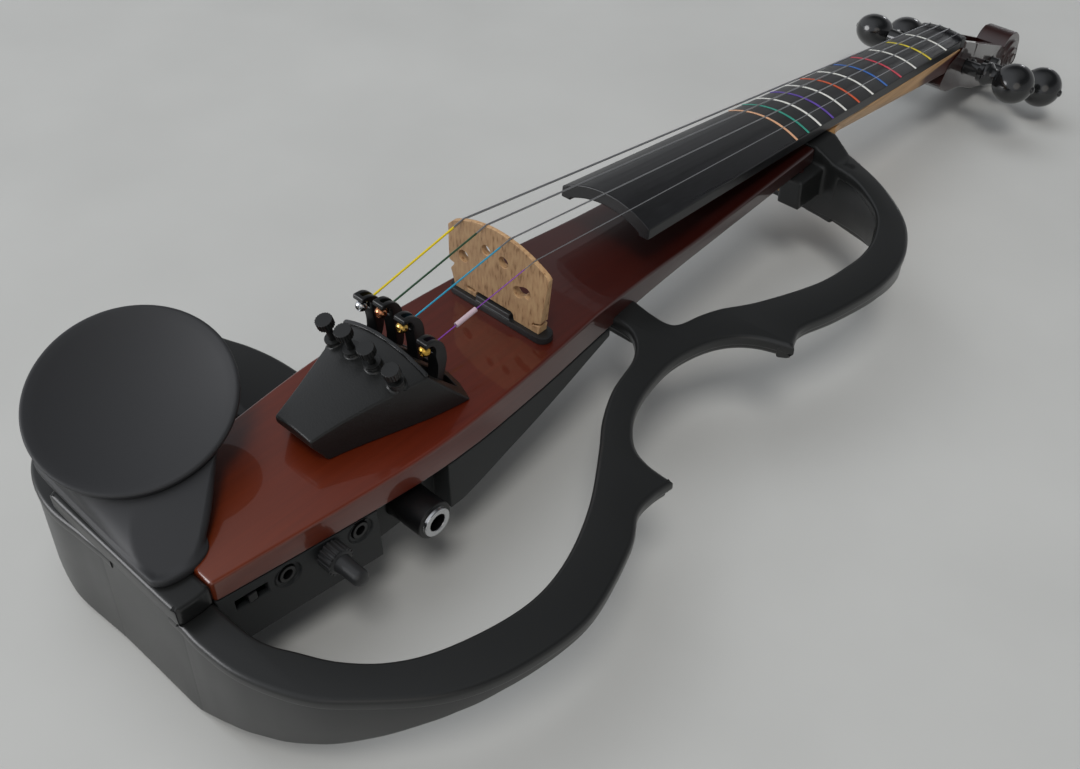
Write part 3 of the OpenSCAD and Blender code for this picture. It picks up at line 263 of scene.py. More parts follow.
# Red-brown stain by length, with a painted glow of light at the tail end.
stain_and_glow = add(tree, "ShaderNodeValToRGB", inputs={"Fac": reach.outputs["Result"]}, stops=STAIN_AND_TAIL_GLOW_BY_LENGTH)
streaks = add(tree, "ShaderNodeValToRGB", inputs={"Fac": grain.outputs["Fac"]},
    stops=[(0.35, 0.72), (0.7, 1.0)])
wood = add(tree, "ShaderNodeMix", {"data_type": "RGBA", "blend_type": "MULTIPLY"}, {"Factor": 0.7})
tree.links.new(stain_and_glow.outputs["Color"], wood.inputs["A"])
tree.links.new(streaks.outputs["Color"], wood.inputs["B"])
tree.links.new(wood.outputs["Result"], shader.inputs["Base Color"])
fit(eased("body", 1.2), lacquered_wood, "violin", "body")

# ---- Neck ----
# One piece of maple, carved to a round back and a flared heel and rubbed with oil, so that its fine
# figure shows. Its cheeks are lacquered red forward of the nut, and a dark stained block carries the
# fingerboard on over the body.
WEAR_SCALE, WEAR = 14.0, 0.05

def moulded(name, code, gloss, grit, depth):
    """A moulded or sprayed skin: its colour, roughness, and the width and depth of its grit in mm.
    The grit is drawn wider than the real tenth of a millimetre, so that it shows. Patches 70 mm wide
    are rubbed a little brighter."""
    skin, tree, shader, place = finish_of(name)
    shader.inputs["Base Color"].default_value = hue(code)
    grain = add(tree, "ShaderNodeTexNoise", inputs={"Vector": place, "Scale": 1000 / grit, "Detail": 2.0,
        "Roughness": 0.6})
    wear = add(tree, "ShaderNodeTexNoise", inputs={"Vector": place, "Scale": WEAR_SCALE, "Detail": 3.0})
    rub = add(tree, "ShaderNodeMapRange", inputs={"Value": wear.outputs["Fac"], "From Min": 0.3,
        "From Max": 0.7, "To Min": gloss - WEAR, "To Max": gloss + WEAR})
    tree.links.new(rub.outputs["Result"], shader.inputs["Roughness"])
    bump = add(tree, "ShaderNodeBump", inputs={"Height": grain.outputs["Fac"], "Strength": 0.6,
        "Distance": depth / 1000})
    tree.links.new(bump.outputs["Normal"], shader.inputs["Normal"])
    return skin

# From the violin's own axes in millimetres to its place as it lies, in metres, and back.
own_axes = (Matrix.Translation((0, BRIDGE_BACK / 1000, BRIDGE_UP / 1000))
    @ Matrix.Rotation(LYING_TILT, 4, "X") @ Matrix.Scale(0.001, 4))
to_own_axes = own_axes.inverted()
SHARP_EDGE = math.radians(50)

def lay(name, *meshes):
    """One piece from meshes in the violin's own axes, laid down as the violin lies."""
    shape = bmesh.new()
    for mesh in meshes:
        shape.from_mesh(mesh)
    bmesh.ops.remove_doubles(shape, verts=shape.verts, dist=1e-4)
    mesh = bpy.data.meshes.new(name)
    shape.to_mesh(mesh)
    shape.free()
    mesh.transform(own_axes)
    mesh.shade_smooth()
    mesh.set_sharp_from_angle(angle=SHARP_EDGE)
    piece = bpy.data.objects.new(name, mesh)
    bpy.context.scene.collection.objects.link(piece)
    return piece

def lofted(name, rings, poles=None):
    """A closed mesh over rings of points. Each end is one face, or a fan round its pole."""
    shape = bmesh.new()
    rows = [[shape.verts.new(point) for point in ring] for ring in rings]
    for low, high in zip(rows, rows[1:]):
        for k in range(len(low)):
            after = (k + 1) % len(low)
            shape.faces.new((low[k], low[after], high[after], high[k]))
    if poles:
        for row, middle in zip((rows[0], rows[-1]), poles):
            pole = shape.verts.new(middle)
            for k in range(len(row)):
                shape.faces.new((pole, row[k], row[(k + 1) % len(row)]))
    else:
        shape.faces.new(rows[0])
        shape.faces.new(rows[-1][::-1])
    bmesh.ops.recalc_face_normals(shape, faces=shape.faces)
    mesh = bpy.data.meshes.new(name)
    shape.to_mesh(mesh)
    shape.free()
    return mesh

# Oiled maple: warm tan with a low sheen, and fine figure 2.4 mm wide and 45 mm long. Forward of
# RED_START the lower part of the cheeks turns to red lacquer, over RED_RUN metres.
MAPLE_FIGURE = (420, 22, 420)
RED_START, RED_RUN = at(0, 283, -24), 0.008
RED_TOP, RED_FULL = 0.0022, 0.001
oiled_maple, tree, shader, place = finish_of("oiled_maple", Roughness=0.45, Coat_Weight=0.15,
    Coat_Roughness=0.3)
stretched = add(tree, "ShaderNodeMapping", inputs={"Vector": place, "Scale": MAPLE_FIGURE})
figure = add(tree, "ShaderNodeTexNoise", inputs={"Vector": stretched.outputs["Vector"], "Scale": 1.0,
    "Detail": 4.0, "Roughness": 0.6, "Distortion": 0.6})
tone = add(tree, "ShaderNodeValToRGB", inputs={"Fac": figure.outputs["Fac"]},
    stops=[(0.3, "a07a4d"), (0.55, "bd9465"), (0.75, "caa376")])
spot = add(tree, "ShaderNodeSeparateXYZ", inputs={"Vector": place})
forward = add(tree, "ShaderNodeMapRange", inputs={"Value": spot.outputs["Y"],
    "From Min": RED_START.y, "From Max": RED_START.y + RED_RUN})
below = add(tree, "ShaderNodeMapRange", inputs={"Value": spot.outputs["Z"],
    "From Min": RED_START.z + RED_TOP, "From Max": RED_START.z + RED_FULL})
lacquered = add(tree, "ShaderNodeMath", {"operation": "MULTIPLY"},
    {0: forward.outputs["Result"], 1: below.outputs["Result"]})
cover = add(tree, "ShaderNodeMix", {"data_type": "RGBA"},
    {"Factor": lacquered.outputs["Value"], "B": hue("3c1510")})
tree.links.new(tone.outputs["Color"], cover.inputs["A"])
tree.links.new(cover.outputs["Result"], shader.inputs["Base Color"])
fit(eased("neck", 0.5), oiled_maple, "violin", "neck")

# The block under the fingerboard: a round-ended plan, a level foot, and a top that falls forward.
BLOCK_PLAN = [(-12.5, 182), (-12.5, 112), (-10.8, 107.6), (-6.5, 105), (0, 104.2), (6.5, 105), (10.8, 107.6),
    (12.5, 112), (12.5, 182)]
BLOCK_FOOT, BLOCK_TOP, BLOCK_START, BLOCK_FALL = -4, 5.5, 105, 0.132
extension = lay("neck_extension", lofted("neck_extension", [[(x, y, BLOCK_FOOT) for x, y in BLOCK_PLAN],
    [(x, y, BLOCK_TOP - (y - BLOCK_START) * BLOCK_FALL) for x, y in BLOCK_PLAN]]))
extension.data.materials.append(moulded("dark_stained_maple", "2b2523", 0.4, 0.5, 0.01))
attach(extension, "violin")

# ---- Fingerboard, tapes and nut ----
# The fingerboard is blackened hardwood, planed to a 42 mm arch, hollowed under its free end, and
# rubbed smooth. Thin coloured vinyl tapes mark the semitones. The nut is polished black wood.

# Blackened hardwood: near black with a soft shine. Its pores are drawn 0.7 mm wide, which is wider
# than the real ones, so that they show.
PORES = (1500, 60, 1500)
black_hardwood, tree, shader, place = finish_of("blackened_hardwood", Roughness=0.3)
stretched = add(tree, "ShaderNodeMapping", inputs={"Vector": place, "Scale": PORES})
pores = add(tree, "ShaderNodeTexNoise", inputs={"Vector": stretched.outputs["Vector"], "Scale": 1.0,
    "Detail": 3.0, "Roughness": 0.6})
tone = add(tree, "ShaderNodeValToRGB", inputs={"Fac": pores.outputs["Fac"]},
    stops=[(0.35, "0d0d0f"), (0.7, "1b1c1e")])
tree.links.new(tone.outputs["Color"], shader.inputs["Base Color"])
dull = add(tree, "ShaderNodeMapRange", inputs={"Value": pores.outputs["Fac"], "To Min": 0.24, "To Max": 0.42})
tree.links.new(dull.outputs["Result"], shader.inputs["Roughness"])
fit(eased("fingerboard", 0.5), black_hardwood, "violin", "fingerboard")
fit(eased("nut", 0.25, 2), black_hardwood, "violin", "nut")

# Vinyl tape: flat bright colours with a low shine. Each tape takes the colour of its own semitone,
# which a ramp along the fingerboard gives, with its steps halfway between the tapes.
TAPE_COLOURS = ("dfe0da", "d8c62c", "dfe0da", "c43a4e", "2f67b4", "dfe0da", "c9552c", "dfe0da", "5b3fa0",
    "dfe0da", "2f8f7c", "d9a884")
STRING_LENGTH, NUT_HEIGHT, STRING_FALL = 328.0, -15, 0.16
BEYOND_LAST = 0.006
vinyl, tree, shader, place = finish_of("vinyl_tape", Roughness=0.4)
along = add(tree, "ShaderNodeSeparateXYZ", inputs={"Vector": place})
nut_y = at(0, STRING_LENGTH, NUT_HEIGHT).y
octave_y = at(0, STRING_LENGTH / 2, 0).y
step = add(tree, "ShaderNodeMapRange",
    inputs={"Value": along.outputs["Y"], "From Min": nut_y, "From Max": octave_y - BEYOND_LAST})
tape_stops = []
for n, code in enumerate(TAPE_COLOURS, 1):
    reach = STRING_LENGTH * (1 - 2 ** (-(n - 0.5) / 12))
    step_y = at(0, STRING_LENGTH - reach, NUT_HEIGHT + reach * STRING_FALL).y
    tape_stops.append(((nut_y - step_y) / (nut_y - octave_y + BEYOND_LAST), code))
bands = add(tree, "ShaderNodeValToRGB", inputs={"Fac": step.outputs["Result"]}, stops=tape_stops)
bands.color_ramp.interpolation = "CONSTANT"
tree.links.new(bands.outputs["Color"], shader.inputs["Base Color"])
dress(vinyl, "fingering_tapes")

# ---- Head and pegs ----
# The pegbox and scroll are carved from maple and lacquered like the body. The pegs are turned
# from black hardwood with flattened ball heads, and each carries some turns of its string.
fit(eased("head", 0.9), lacquered_wood, "violin", "head")

def turned(profile, middle, side=1, count=40, flatness=1, turn=0.0):
    """A shape turned about X from its profile of (x, radius), in the violin's axes. flatness narrows
    it across its axis, and turn then rolls it."""
    rings = []
    for x, radius in profile:
        ring = []
        for k in range(count):
            angle = 2 * math.pi * k / count
            y, z = radius * math.cos(angle), radius * flatness * math.sin(angle)
            ring.append((middle[0] + side * x, middle[1] + y * math.cos(turn) - z * math.sin(turn),
                middle[2] + y * math.sin(turn) + z * math.cos(turn)))
        rings.append(ring)
    return lofted("turned", rings)

def plain_finish(name, code, **sockets):
    """A finish that has one colour all over."""
    skin, _, shader, _ = finish_of(name, **sockets)
    shader.inputs["Base Color"].default_value = hue(code)
    return skin

# Polished hardwood: black with a bright waxed coat. Wound steel: pale grey metal, softly brushed.
polished_black = plain_finish("polished_black_hardwood", "121314", Roughness=0.2, Coat_Weight=0.6,
    Coat_Roughness=0.08)
wound_steel = plain_finish("wound_steel", "c3c4c6", Metallic=1.0, Roughness=0.28)

def group_of(name, **kinds):
    """A new Geometry Nodes group with its named inputs: the group, its entry and its exit."""
    group = bpy.data.node_groups.new(name, "GeometryNodeTree")
    group.interface.new_socket("Geometry", in_out="OUTPUT", socket_type="NodeSocketGeometry")
    for socket, kind in kinds.items():
        group.interface.new_socket(socket, in_out="INPUT", socket_type="NodeSocket" + kind)
    return group, group.nodes.new("NodeGroupInput"), group.nodes.new("NodeGroupOutput")

def grown(name, group, **values):
    """The plain mesh that a node group makes from its inputs, in millimetres."""
    holder = bpy.data.objects.new(name, bpy.data.meshes.new(name))
    bpy.context.scene.collection.objects.link(holder)
    modifier = holder.modifiers.new(name, "NODES")
    modifier.node_group = group
    for item in group.interface.items_tree:
        if item.item_type == "SOCKET" and item.in_out == "INPUT" and item.name in values:
            modifier[item.identifier] = values[item.name]
    bpy.context.view_layer.update()
    made = holder.evaluated_get(bpy.context.evaluated_depsgraph_get())
    mesh = bpy.data.meshes.new_from_object(made)
    bpy.data.objects.remove(holder)
    return mesh

# Turns of string on a peg: a spiral swept by the wire's round section, which is laid along X later.
TURNS_ON_PEG = 3.6
STEPS_A_TURN, WIRE_SIDES = 48, 10
coil, entry, leave = group_of("string_turns", Radius="Float", Wire="Float", Length="Float", Metal="Material")
spiral = add(coil, "GeometryNodeCurveSpiral", inputs={"Resolution": STEPS_A_TURN, "Rotations": TURNS_ON_PEG,
    "Start Radius": entry.outputs["Radius"], "End Radius": entry.outputs["Radius"],
    "Height": entry.outputs["Length"]})
section = add(coil, "GeometryNodeCurvePrimitiveCircle",
    inputs={"Resolution": WIRE_SIDES, "Radius": entry.outputs["Wire"]})
swept = add(coil, "GeometryNodeCurveToMesh", inputs={"Curve": spiral.outputs["Curve"],
    "Profile Curve": section.outputs["Curve"], "Fill Caps": True})
coated = add(coil, "GeometryNodeSetMaterial",
    inputs={"Geometry": swept.outputs["Mesh"], "Material": entry.outputs["Metal"]})
coil.links.new(coated.outputs["Geometry"], leave.inputs["Geometry"])

# The pegs in millimetres: the ball's and the shank's radius, where the collar stands, and how far the
# pip reaches past the ball. Each ball is turned as its string's tuning left it.
HEAD_R, PEG_R, COLLAR_X, PIP_REACH = 10.5, 3.6, 24.0, 1
BALL_FLATNESS, BALL_STEPS, POLE_HOLE = 0.85, 24, 0.004
PEG_TAIL = [(-13.5, 2.9), (-13.3, 3.4), (-12.8, PEG_R)]
COLLAR = [(-3.6, PEG_R), (-3.2, 4.8), (-0.6, 5.1), (-0.3, 5.8), (0.2, 6.2), (1.6, 6.2), (2.4, 5.6),
    (3.4, 4.4), (5, 3.9)]
PEG_NECK = [(-8, 4.2), (-6, 4.4), (0, 3.0)]
PIP = [(8.6, 1.6), (10.2, 1.9), (10.9, 1.7), (11.3, 1.1), (11.5, 0.3)]
PEG_ROLL = {"g": -38, "d": -20, "a": 52, "e": 38}
for letter, roll in PEG_ROLL.items():
    corners = [to_own_axes @ v.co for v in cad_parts[letter + "_winding"].data.vertices]
    low = [min(c[k] for c in corners) for k in range(3)]
    high = [max(c[k] for c in corners) for k in range(3)]
    middle = (0, (low[1] + high[1]) / 2, (low[2] + high[2]) / 2)
    side = 1 if letter in "ae" else -1
    tip = max(abs((to_own_axes @ v.co).x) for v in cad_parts[letter + "_peg"].data.vertices)
    head_x = tip - PIP_REACH - HEAD_R
    shank = PEG_TAIL + [(COLLAR_X + x, r) for x, r in COLLAR] + [(head_x + x, r) for x, r in PEG_NECK]
    slices = [math.pi * k / BALL_STEPS for k in range(BALL_STEPS + 1)]
    ball = [(head_x - HEAD_R * math.cos(a), HEAD_R * max(POLE_HOLE, math.sin(a))) for a in slices]
    pip = [(head_x + x, r) for x, r in PIP]
    peg = lay(letter + "_turned_peg", turned(shank, middle, side),
        turned(ball, middle, side, 40, BALL_FLATNESS, math.radians(roll)), turned(pip, middle, side, 20))
    fit(peg, polished_black, letter + "_peg_unit", letter + "_peg")
    wire = (high[1] - low[1]) / 4 - PEG_R / 2
    mesh = grown(letter + "_string_turns", coil, Radius=PEG_R + wire, Wire=wire,
        Length=high[0] - low[0] - 2 * wire, Metal=wound_steel)
    mesh.transform(Matrix.Translation((low[0] + wire, middle[1], middle[2]))
        @ Matrix.Rotation(math.pi / 2, 4, "Y"))
    fit(lay(letter + "_string_turns", mesh), wound_steel, letter + "_peg_unit", letter + "_winding")

# ---- Strings ----
# Steel and synthetic cores wound with flat metal ribbon. Each string's ends are wrapped in
# coloured silk, and a soft sleeve on the E string keeps it from cutting into the bridge.

# Wound ribbon: pale bright metal between the silks, which are matt and coloured. The ramp starts and
# ends BEYOND metres past the silks' edges, and so both edges fall inside it.
SILKS = {"g": "d9c21f", "d": "2d4a35", "a": "2b8fb0", "e": "7b3aa0"}
BEYOND = 0.1
silk_end, nut_side = at(0, -6, 31).y, at(0, 331, -16).y
whole = nut_side + BEYOND - (silk_end - BEYOND)
for letter, code in SILKS.items():
    ribbon, tree, shader, place = finish_of(letter + "_string_winding", Metallic=0.0, Roughness=0.35)
    along = add(tree, "ShaderNodeSeparateXYZ", inputs={"Vector": place})
    spot = add(tree, "ShaderNodeMapRange", inputs={"Value": along.outputs["Y"],
        "From Min": silk_end - BEYOND, "From Max": nut_side + BEYOND})
    cover = add(tree, "ShaderNodeValToRGB", inputs={"Fac": spot.outputs["Result"]},
        stops=[(0.0, code), (BEYOND / whole, "b9babc"), (1 - BEYOND / whole, code)])
    bare = add(tree, "ShaderNodeValToRGB", inputs={"Fac": spot.outputs["Result"]},
        stops=[(0.0, 0.0), (BEYOND / whole, 1.0), (1 - BEYOND / whole, 0.0)])
    for ramp, socket in ((cover, "Base Color"), (bare, "Metallic")):
        ramp.color_ramp.interpolation = "CONSTANT"
        tree.links.new(ramp.outputs["Color"], shader.inputs[socket])
    dress(ribbon, letter + "_string")
# Soft vinyl: milky mauve, with a low shine.
dress(plain_finish("soft_vinyl_sleeve", "b9a5ae", Roughness=0.4), "e_string_sleeve")

# ---- Bridge and pickup ----
# The bridge is cut from plain maple on the quarter, so that short dark ray flecks show on its
# face. It stands on a black moulded bar that holds the pickup.

# Quartered maple: matt pale tan, with flecks 1.1 mm wide and 4.5 mm tall, and clouds 17 mm wide.
RAY_FLECKS, CLOUD_SCALE = (900, 900, 220), 60.0
ray_maple, tree, shader, place = finish_of("quartered_maple", Roughness=0.6)
stretched = add(tree, "ShaderNodeMapping", inputs={"Vector": place, "Scale": RAY_FLECKS})
flecks = add(tree, "ShaderNodeTexNoise", inputs={"Vector": stretched.outputs["Vector"], "Scale": 1.0,
    "Detail": 2.0, "Roughness": 0.5})
cloud = add(tree, "ShaderNodeTexNoise", inputs={"Vector": place, "Scale": CLOUD_SCALE, "Detail": 3.0})
tone = add(tree, "ShaderNodeValToRGB", inputs={"Fac": flecks.outputs["Fac"]},
    stops=[(0.28, "876542"), (0.42, "b58f68"), (0.7, "c4a278")])
shade = add(tree, "ShaderNodeValToRGB", inputs={"Fac": cloud.outputs["Fac"]}, stops=[(0.3, 0.85), (0.7, 1.0)])
wood = add(tree, "ShaderNodeMix", {"data_type": "RGBA", "blend_type": "MULTIPLY"}, {"Factor": 1.0})
tree.links.new(tone.outputs["Color"], wood.inputs["A"])
tree.links.new(shade.outputs["Color"], wood.inputs["B"])
tree.links.new(wood.outputs["Result"], shader.inputs["Base Color"])
fit(eased("bridge", 0.25, 2), ray_maple, "violin", "bridge")

# Moulded black: matt, with a fine even grit.
pickup_black = moulded("moulded_pickup_black", "1c1d1e", 0.45, 0.4, 0.02)
fit(eased("pickup_bar", 0.4, 2), pickup_black, "violin", "pickup_bar")

# ---- Tailpiece and fine tuners ----
# The tailpiece is moulded in black plastic with a leather-like mould grain, with a smooth saddle
# on its ridge. Lacquered steel claws rock on an axle as dark nickelled screws press on them.
grained_black = moulded("leather_grained_abs", "191a1a", 0.36, 0.8, 0.12)
smooth_black = moulded("smooth_saddle_abs", "1a1b1c", 0.25, 0.5, 0.01)
fit(eased("tailpiece", 0.7, 3, 28), grained_black, "violin", "tailpiece")
fit(eased("tailpiece_ridge", 0.35, 2), smooth_black, "violin", "tailpiece_ridge")

# Black lacquer: a soft shine. The ball ends are bright polished metal: steel, copper, brass and gilt.
black_lacquer = moulded("black_lacquered_steel", "111213", 0.32, 0.5, 0.01)
black_nickel = moulded("black_lacquered_brass", "171818", 0.33, 0.5, 0.008)
BALLS = {"g": "cfd1d3", "d": "c58763", "a": "cfa95c", "e": "d8ab4e"}
for letter, code in BALLS.items():
    arm = letter + "_tuner_arm"
    fit(eased(letter + "_tuner_lever", 0.35, 2), black_lacquer, arm, letter + "_tuner_lever")
    ball_metal = plain_finish(letter + "_ball_metal", code, Metallic=1.0, Roughness=0.16)
    fit(eased(letter + "_ball_end", 0.1, 1, 60, rounded=False), ball_metal, arm, letter + "_ball_end")
    collar, screw = letter + "_tuner_collar", letter + "_tuner_screw"
    fit(eased(collar, 0.15, 2), black_nickel, letter + "_tuner_nut", collar)
    fit(eased(screw, 0.12, 2), black_nickel, letter + "_tuner_knob", screw)
# Plain steel: mid-grey metal, softly brushed.
plain_steel = plain_finish("plain_steel", "9b9da0", Metallic=1.0, Roughness=0.3)
dress(plain_steel, "tuner_axle", "chin_rest_screws", "volume_pot")

# ---- Frame, wing and tail block ----
# A shell moulded in glass-filled nylon, painted satin black. A flat top flange with a rounded lip
# runs round over an outer wall that leans out a little at the tail. It parts behind the tail,
# where the tail block carries the bar that the chin rest is screwed to.

# Heights, thicknesses and edges in the violin's own axes, in millimetres.
FLANGE_TOP, FLANGE_UNDER, LIP = -12.0, -17.0, 1.6
FRAME_WALL, WALL_INSET, WALL_OVERLAP = 6.0, 0.5, 2
PARTING, TAIL_EDGE, TAIL_INNER = 21.0, -156.2, -144.2
YOKE_FRONT = 192.5
BOUT_MIDDLE = (45, -75)
LOWER_BOUT = [(31, -156.5), (47, -154.7), (65, -147.7), (78, -137.5), (93, -121.5), (101.5, -104.5),
    (106, -82.5), (105, -66.5), (98, -44.5), (91.4, -33), (90.3, -24), (91.4, -15.5)]
WAIST = [(91.4, -15.5), (81.5, -15), (73.5, -12.2), (67, -6), (61.5, 3), (57.8, 15), (56, 30), (58.3, 44),
    (63.4, 54.2), (71.5, 61), (84, 65.5)]
UPPER_BOUT = [(84, 65.5), (81.5, 70), (80, 78), (84.5, 94), (88.3, 117), (86.9, 135.5), (81.5, 150.4),
    (71.5, 164.3), (53.6, 178.3), (36, 187), (21, YOKE_FRONT)]
LOWER_WINDOW = [(20, -144.2), (40, -143.4), (53, -138), (64, -132), (74, -123), (81.6, -110.6), (87.5, -92),
    (89, -76), (85.5, -59), (77, -40), (64.6, -21), (56, -9), (49, 5), (43.7, 23), (34, 32.5), (20, 33.5)]
UPPER_WINDOW = [(20, 48.4), (33, 46), (41.5, 45.7), (45, 48.7), (47.5, 57.8), (51, 66), (59, 79), (69, 103),
    (72, 122), (72, 133), (69.5, 144), (63, 157), (53, 166.5), (39, 174.5), (20, 178)]
WING_FRONT = [(-106, -82.5), (-104, -79), (-98, -75), (-88, -73.5), (-75, -70.5), (-62, -66.3), (-48, -63.8),
    (-28, -63)]
WING_INNER = [(-28, -90), (-36, -92), (-44, -98), (-48, -108), (-46, -120), (-38, -132), (-28, -139),
    (-17, -144.2)]
BAR_EDGE = [(-46, -152), (-45, -155.6), (-41, -156.4), (-10, -156.4), (18, -156.4), (21.3, -155.6),
    (22, -152), (22, -147), (21, -144.3), (16, -144), (-20, -144), (-42, -144), (-45.4, -145), (-46, -148)]
BAR_TOP, BAR_LIP, BAR_WALL = -4.5, 1.5, 12
# The wall's lower edge: by the direction in degrees from the lower bout's middle on the treble side,
# by x on the bass side, and by y forward of the lower bout.
TREBLE_DEPTH = [(-107, -57), (-102, -52.8), (-97, -49.5), (-89, -45), (-82, -42.2), (-75, -38.5),
    (-66, -35.2), (-58, -31.8), (-49, -27), (-40, -23.5), (-28, -21), (0, -19.5), (30, -19), (60, -19)]
BASS_DEPTH = [(-106, -20), (-95, -21), (-82, -26), (-74, -34), (-62, -47), (-47, -55.5), (-35, -57),
    (-21, -57)]
FORWARD_DEPTH = [(-20, -19), (80, -19), (120, -20.5), (148, -26), (168, -35), (182, -42), (194, -48)]
FORWARD_START = -45
# The wall's foot leans out by WALL_LEAN where it is LEAN_DEPTH deep, and the lean fades out over
# LEAN_FADE before x reaches LEAN_END.
WALL_LEAN, LEAN_DEPTH, LEAN_END, LEAN_FADE = 2.4, 44, 50, 35
# The bass side swells by BASS_SWELL halfway from x = SWELL_START to SWELL_WIDTH further out.
BASS_SWELL, SWELL_START, SWELL_WIDTH, SWELL_MIDDLE = 5.0, -25, 75, (-10, -75)

def through(points, count=8, closed=False):
    """Points of a smooth curve through the given ones."""
    last = len(points) - 1
    line = []
    for k in range(last + closed):
        near = (j % len(points) if closed else min(max(j, 0), last) for j in range(k - 1, k + 3))
        a, b, c, d = (Vector(points[j]) for j in near)
        for t in (i / count for i in range(count)):
            line.append(0.5 * (2 * b + (c - a) * t + (2 * a - 5 * b + 4 * c - d) * t ** 2
                + (3 * b - a - 3 * c + d) * t ** 3))
    return line if closed else line + [Vector(points[-1])]

def from_table(table, value):
    """A value read from a table of pairs, in a straight line between its rows."""
    for (a, low), (b, high) in zip(table, table[1:]):
        if value < b:
            return low + (high - low) * max(0.0, (value - a) / (b - a))
    return table[-1][1]

def between(low, high, value):
    """The value, or the end that it has passed."""
    return min(high, max(low, value))

def swollen(p):
    """The bass side of the tail, which is fuller than the treble side."""
    if p.x >= SWELL_START:
        return p
    share = between(0.0, 1.0, (SWELL_START - p.x) / SWELL_WIDTH)
    outward = Vector((p.x - SWELL_MIDDLE[0], p.y - SWELL_MIDDLE[1])).normalized()
    return p + outward * (BASS_SWELL * math.sin(math.pi * share) ** 2)

def wall_depth(p):
    """The height of the wall's lower edge under a point of the flange's edge."""
    if p.y > FORWARD_START:
        return from_table(FORWARD_DEPTH, p.y)
    if p.x > PARTING - 2:
        way = math.degrees(math.atan2(p.y - BOUT_MIDDLE[1], p.x - BOUT_MIDDLE[0]))
        return from_table(TREBLE_DEPTH, way)
    return from_table(BASS_DEPTH, p.x)

def plate(loop, low, high, lip):
    """A flat plate from its outline, rounded over at every edge, in the violin's axes."""
    outline = bpy.data.curves.new("plate", "CURVE")
    outline.dimensions = "2D"
    outline.fill_mode = "BOTH"
    outline.extrude = (high - low) / 2 - lip
    outline.bevel_depth = lip
    outline.bevel_resolution = 4
    outline.offset = -lip
    spline = outline.splines.new("POLY")
    spline.points.add(len(loop) - 1)
    for point, place in zip(spline.points, loop):
        point.co = (place.x, place.y, 0, 1)
    spline.use_cyclic_u = True
    holder = bpy.data.objects.new("plate", outline)
    bpy.context.scene.collection.objects.link(holder)
    made = holder.evaluated_get(bpy.context.evaluated_depsgraph_get())
    mesh = bpy.data.meshes.new_from_object(made)
    bpy.data.objects.remove(holder)
    mesh.transform(Matrix.Translation((0, 0, (low + high) / 2)))
    return mesh

def wall_under(line, thick=FRAME_WALL, top=FLANGE_TOP - WALL_OVERLAP):
    """The outer wall under a stretch of the flange's edge, which lies on the left of the line. Its
    section is pairs of inside the edge and above the wall's foot, where None is up to its top."""
    edge = [(WALL_INSET, None), (WALL_INSET, 1.6), (WALL_INSET + 0.5, 0.5), (WALL_INSET + 1.6, 0),
        (thick - 1, 0), (thick - 0.3, 0.3), (thick, 1), (thick, None)]
    sections = []
    for k, p in enumerate(line):
        along = (line[min(k + 1, len(line) - 1)] - line[max(k - 1, 0)]).normalized()
        inward = Vector((-along.y, along.x))
        bottom = wall_depth(p)
        lean = WALL_LEAN * max(0.0, (FLANGE_TOP - bottom) / LEAN_DEPTH)
        lean *= between(0.0, 1.0, (LEAN_END - p.x) / LEAN_FADE)
        section = []
        for inside, up in edge:
            z = top if up is None else bottom + up
            out = lean * (FLANGE_TOP - z) / (FLANGE_TOP - bottom)
            place = p + inward * (inside - out)
            section.append((place.x, place.y, z))
        sections.append(section)
    return lofted("wall", sections)

NET_PITCH, NET_ROUNDS, NET_EASE = 0.7, 8, 0.5

def cast_part(name, *cuts):
    """Part of a solid, skinned with an even net that rounds its edges. Each cut is a plane's way out
    and how far out it stands."""
    shape = bmesh.new()
    shape.from_mesh(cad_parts[name].data)
    bmesh.ops.remove_doubles(shape, verts=shape.verts, dist=MERGE)
    bmesh.ops.transform(shape, matrix=to_own_axes, verts=shape.verts)
    solid = bpy.data.meshes.new("solid")
    shape.to_mesh(solid)
    shape.free()
    holder = bpy.data.objects.new("net", solid)
    bpy.context.scene.collection.objects.link(holder)
    net = holder.modifiers.new("net", "REMESH")
    net.mode = "VOXEL"
    net.voxel_size = NET_PITCH
    net.adaptivity = 0
    smooth = holder.modifiers.new("rounding", "SMOOTH")
    smooth.factor = NET_EASE
    smooth.iterations = NET_ROUNDS
    made = holder.evaluated_get(bpy.context.evaluated_depsgraph_get())
    mesh = bpy.data.meshes.new_from_object(made)
    bpy.data.objects.remove(holder)
    shape = bmesh.new()
    shape.from_mesh(mesh)
    for way, distance in cuts:
        cut = bmesh.ops.bisect_plane(shape, geom=shape.verts[:] + shape.edges[:] + shape.faces[:],
            plane_co=Vector(way) * distance, plane_no=way, clear_outer=True, dist=0.005)
        rim = [e for e in cut["geom_cut"] if isinstance(e, bmesh.types.BMEdge) and e.is_boundary]
        bmesh.ops.holes_fill(shape, edges=rim, sides=0)
    shape.to_mesh(mesh)
    shape.free()
    return mesh

# Satin paint on nylon: black, with a soft even shine.
satin_black = moulded("satin_painted_nylon", "1a1b1b", 0.32, 0.35, 0.02)

# The tail's edge from the bass side round to the treble side, parted where the tail block begins.
mirrored = [(-x, y) for x, y in LOWER_BOUT[6::-1]]
rim = [swollen(p) for p in through(mirrored + [(-17, TAIL_EDGE), (17, TAIL_EDGE)] + LOWER_BOUT)]
bass_end, treble_end = Vector((-PARTING, TAIL_EDGE)), Vector((PARTING, TAIL_EDGE))
bass_rim = [p for p in rim if p.x <= -PARTING] + [bass_end]
tail_rim = [bass_end] + [p for p in rim if abs(p.x) < PARTING] + [treble_end]
treble_rim = [treble_end] + [p for p in rim if p.x >= PARTING]

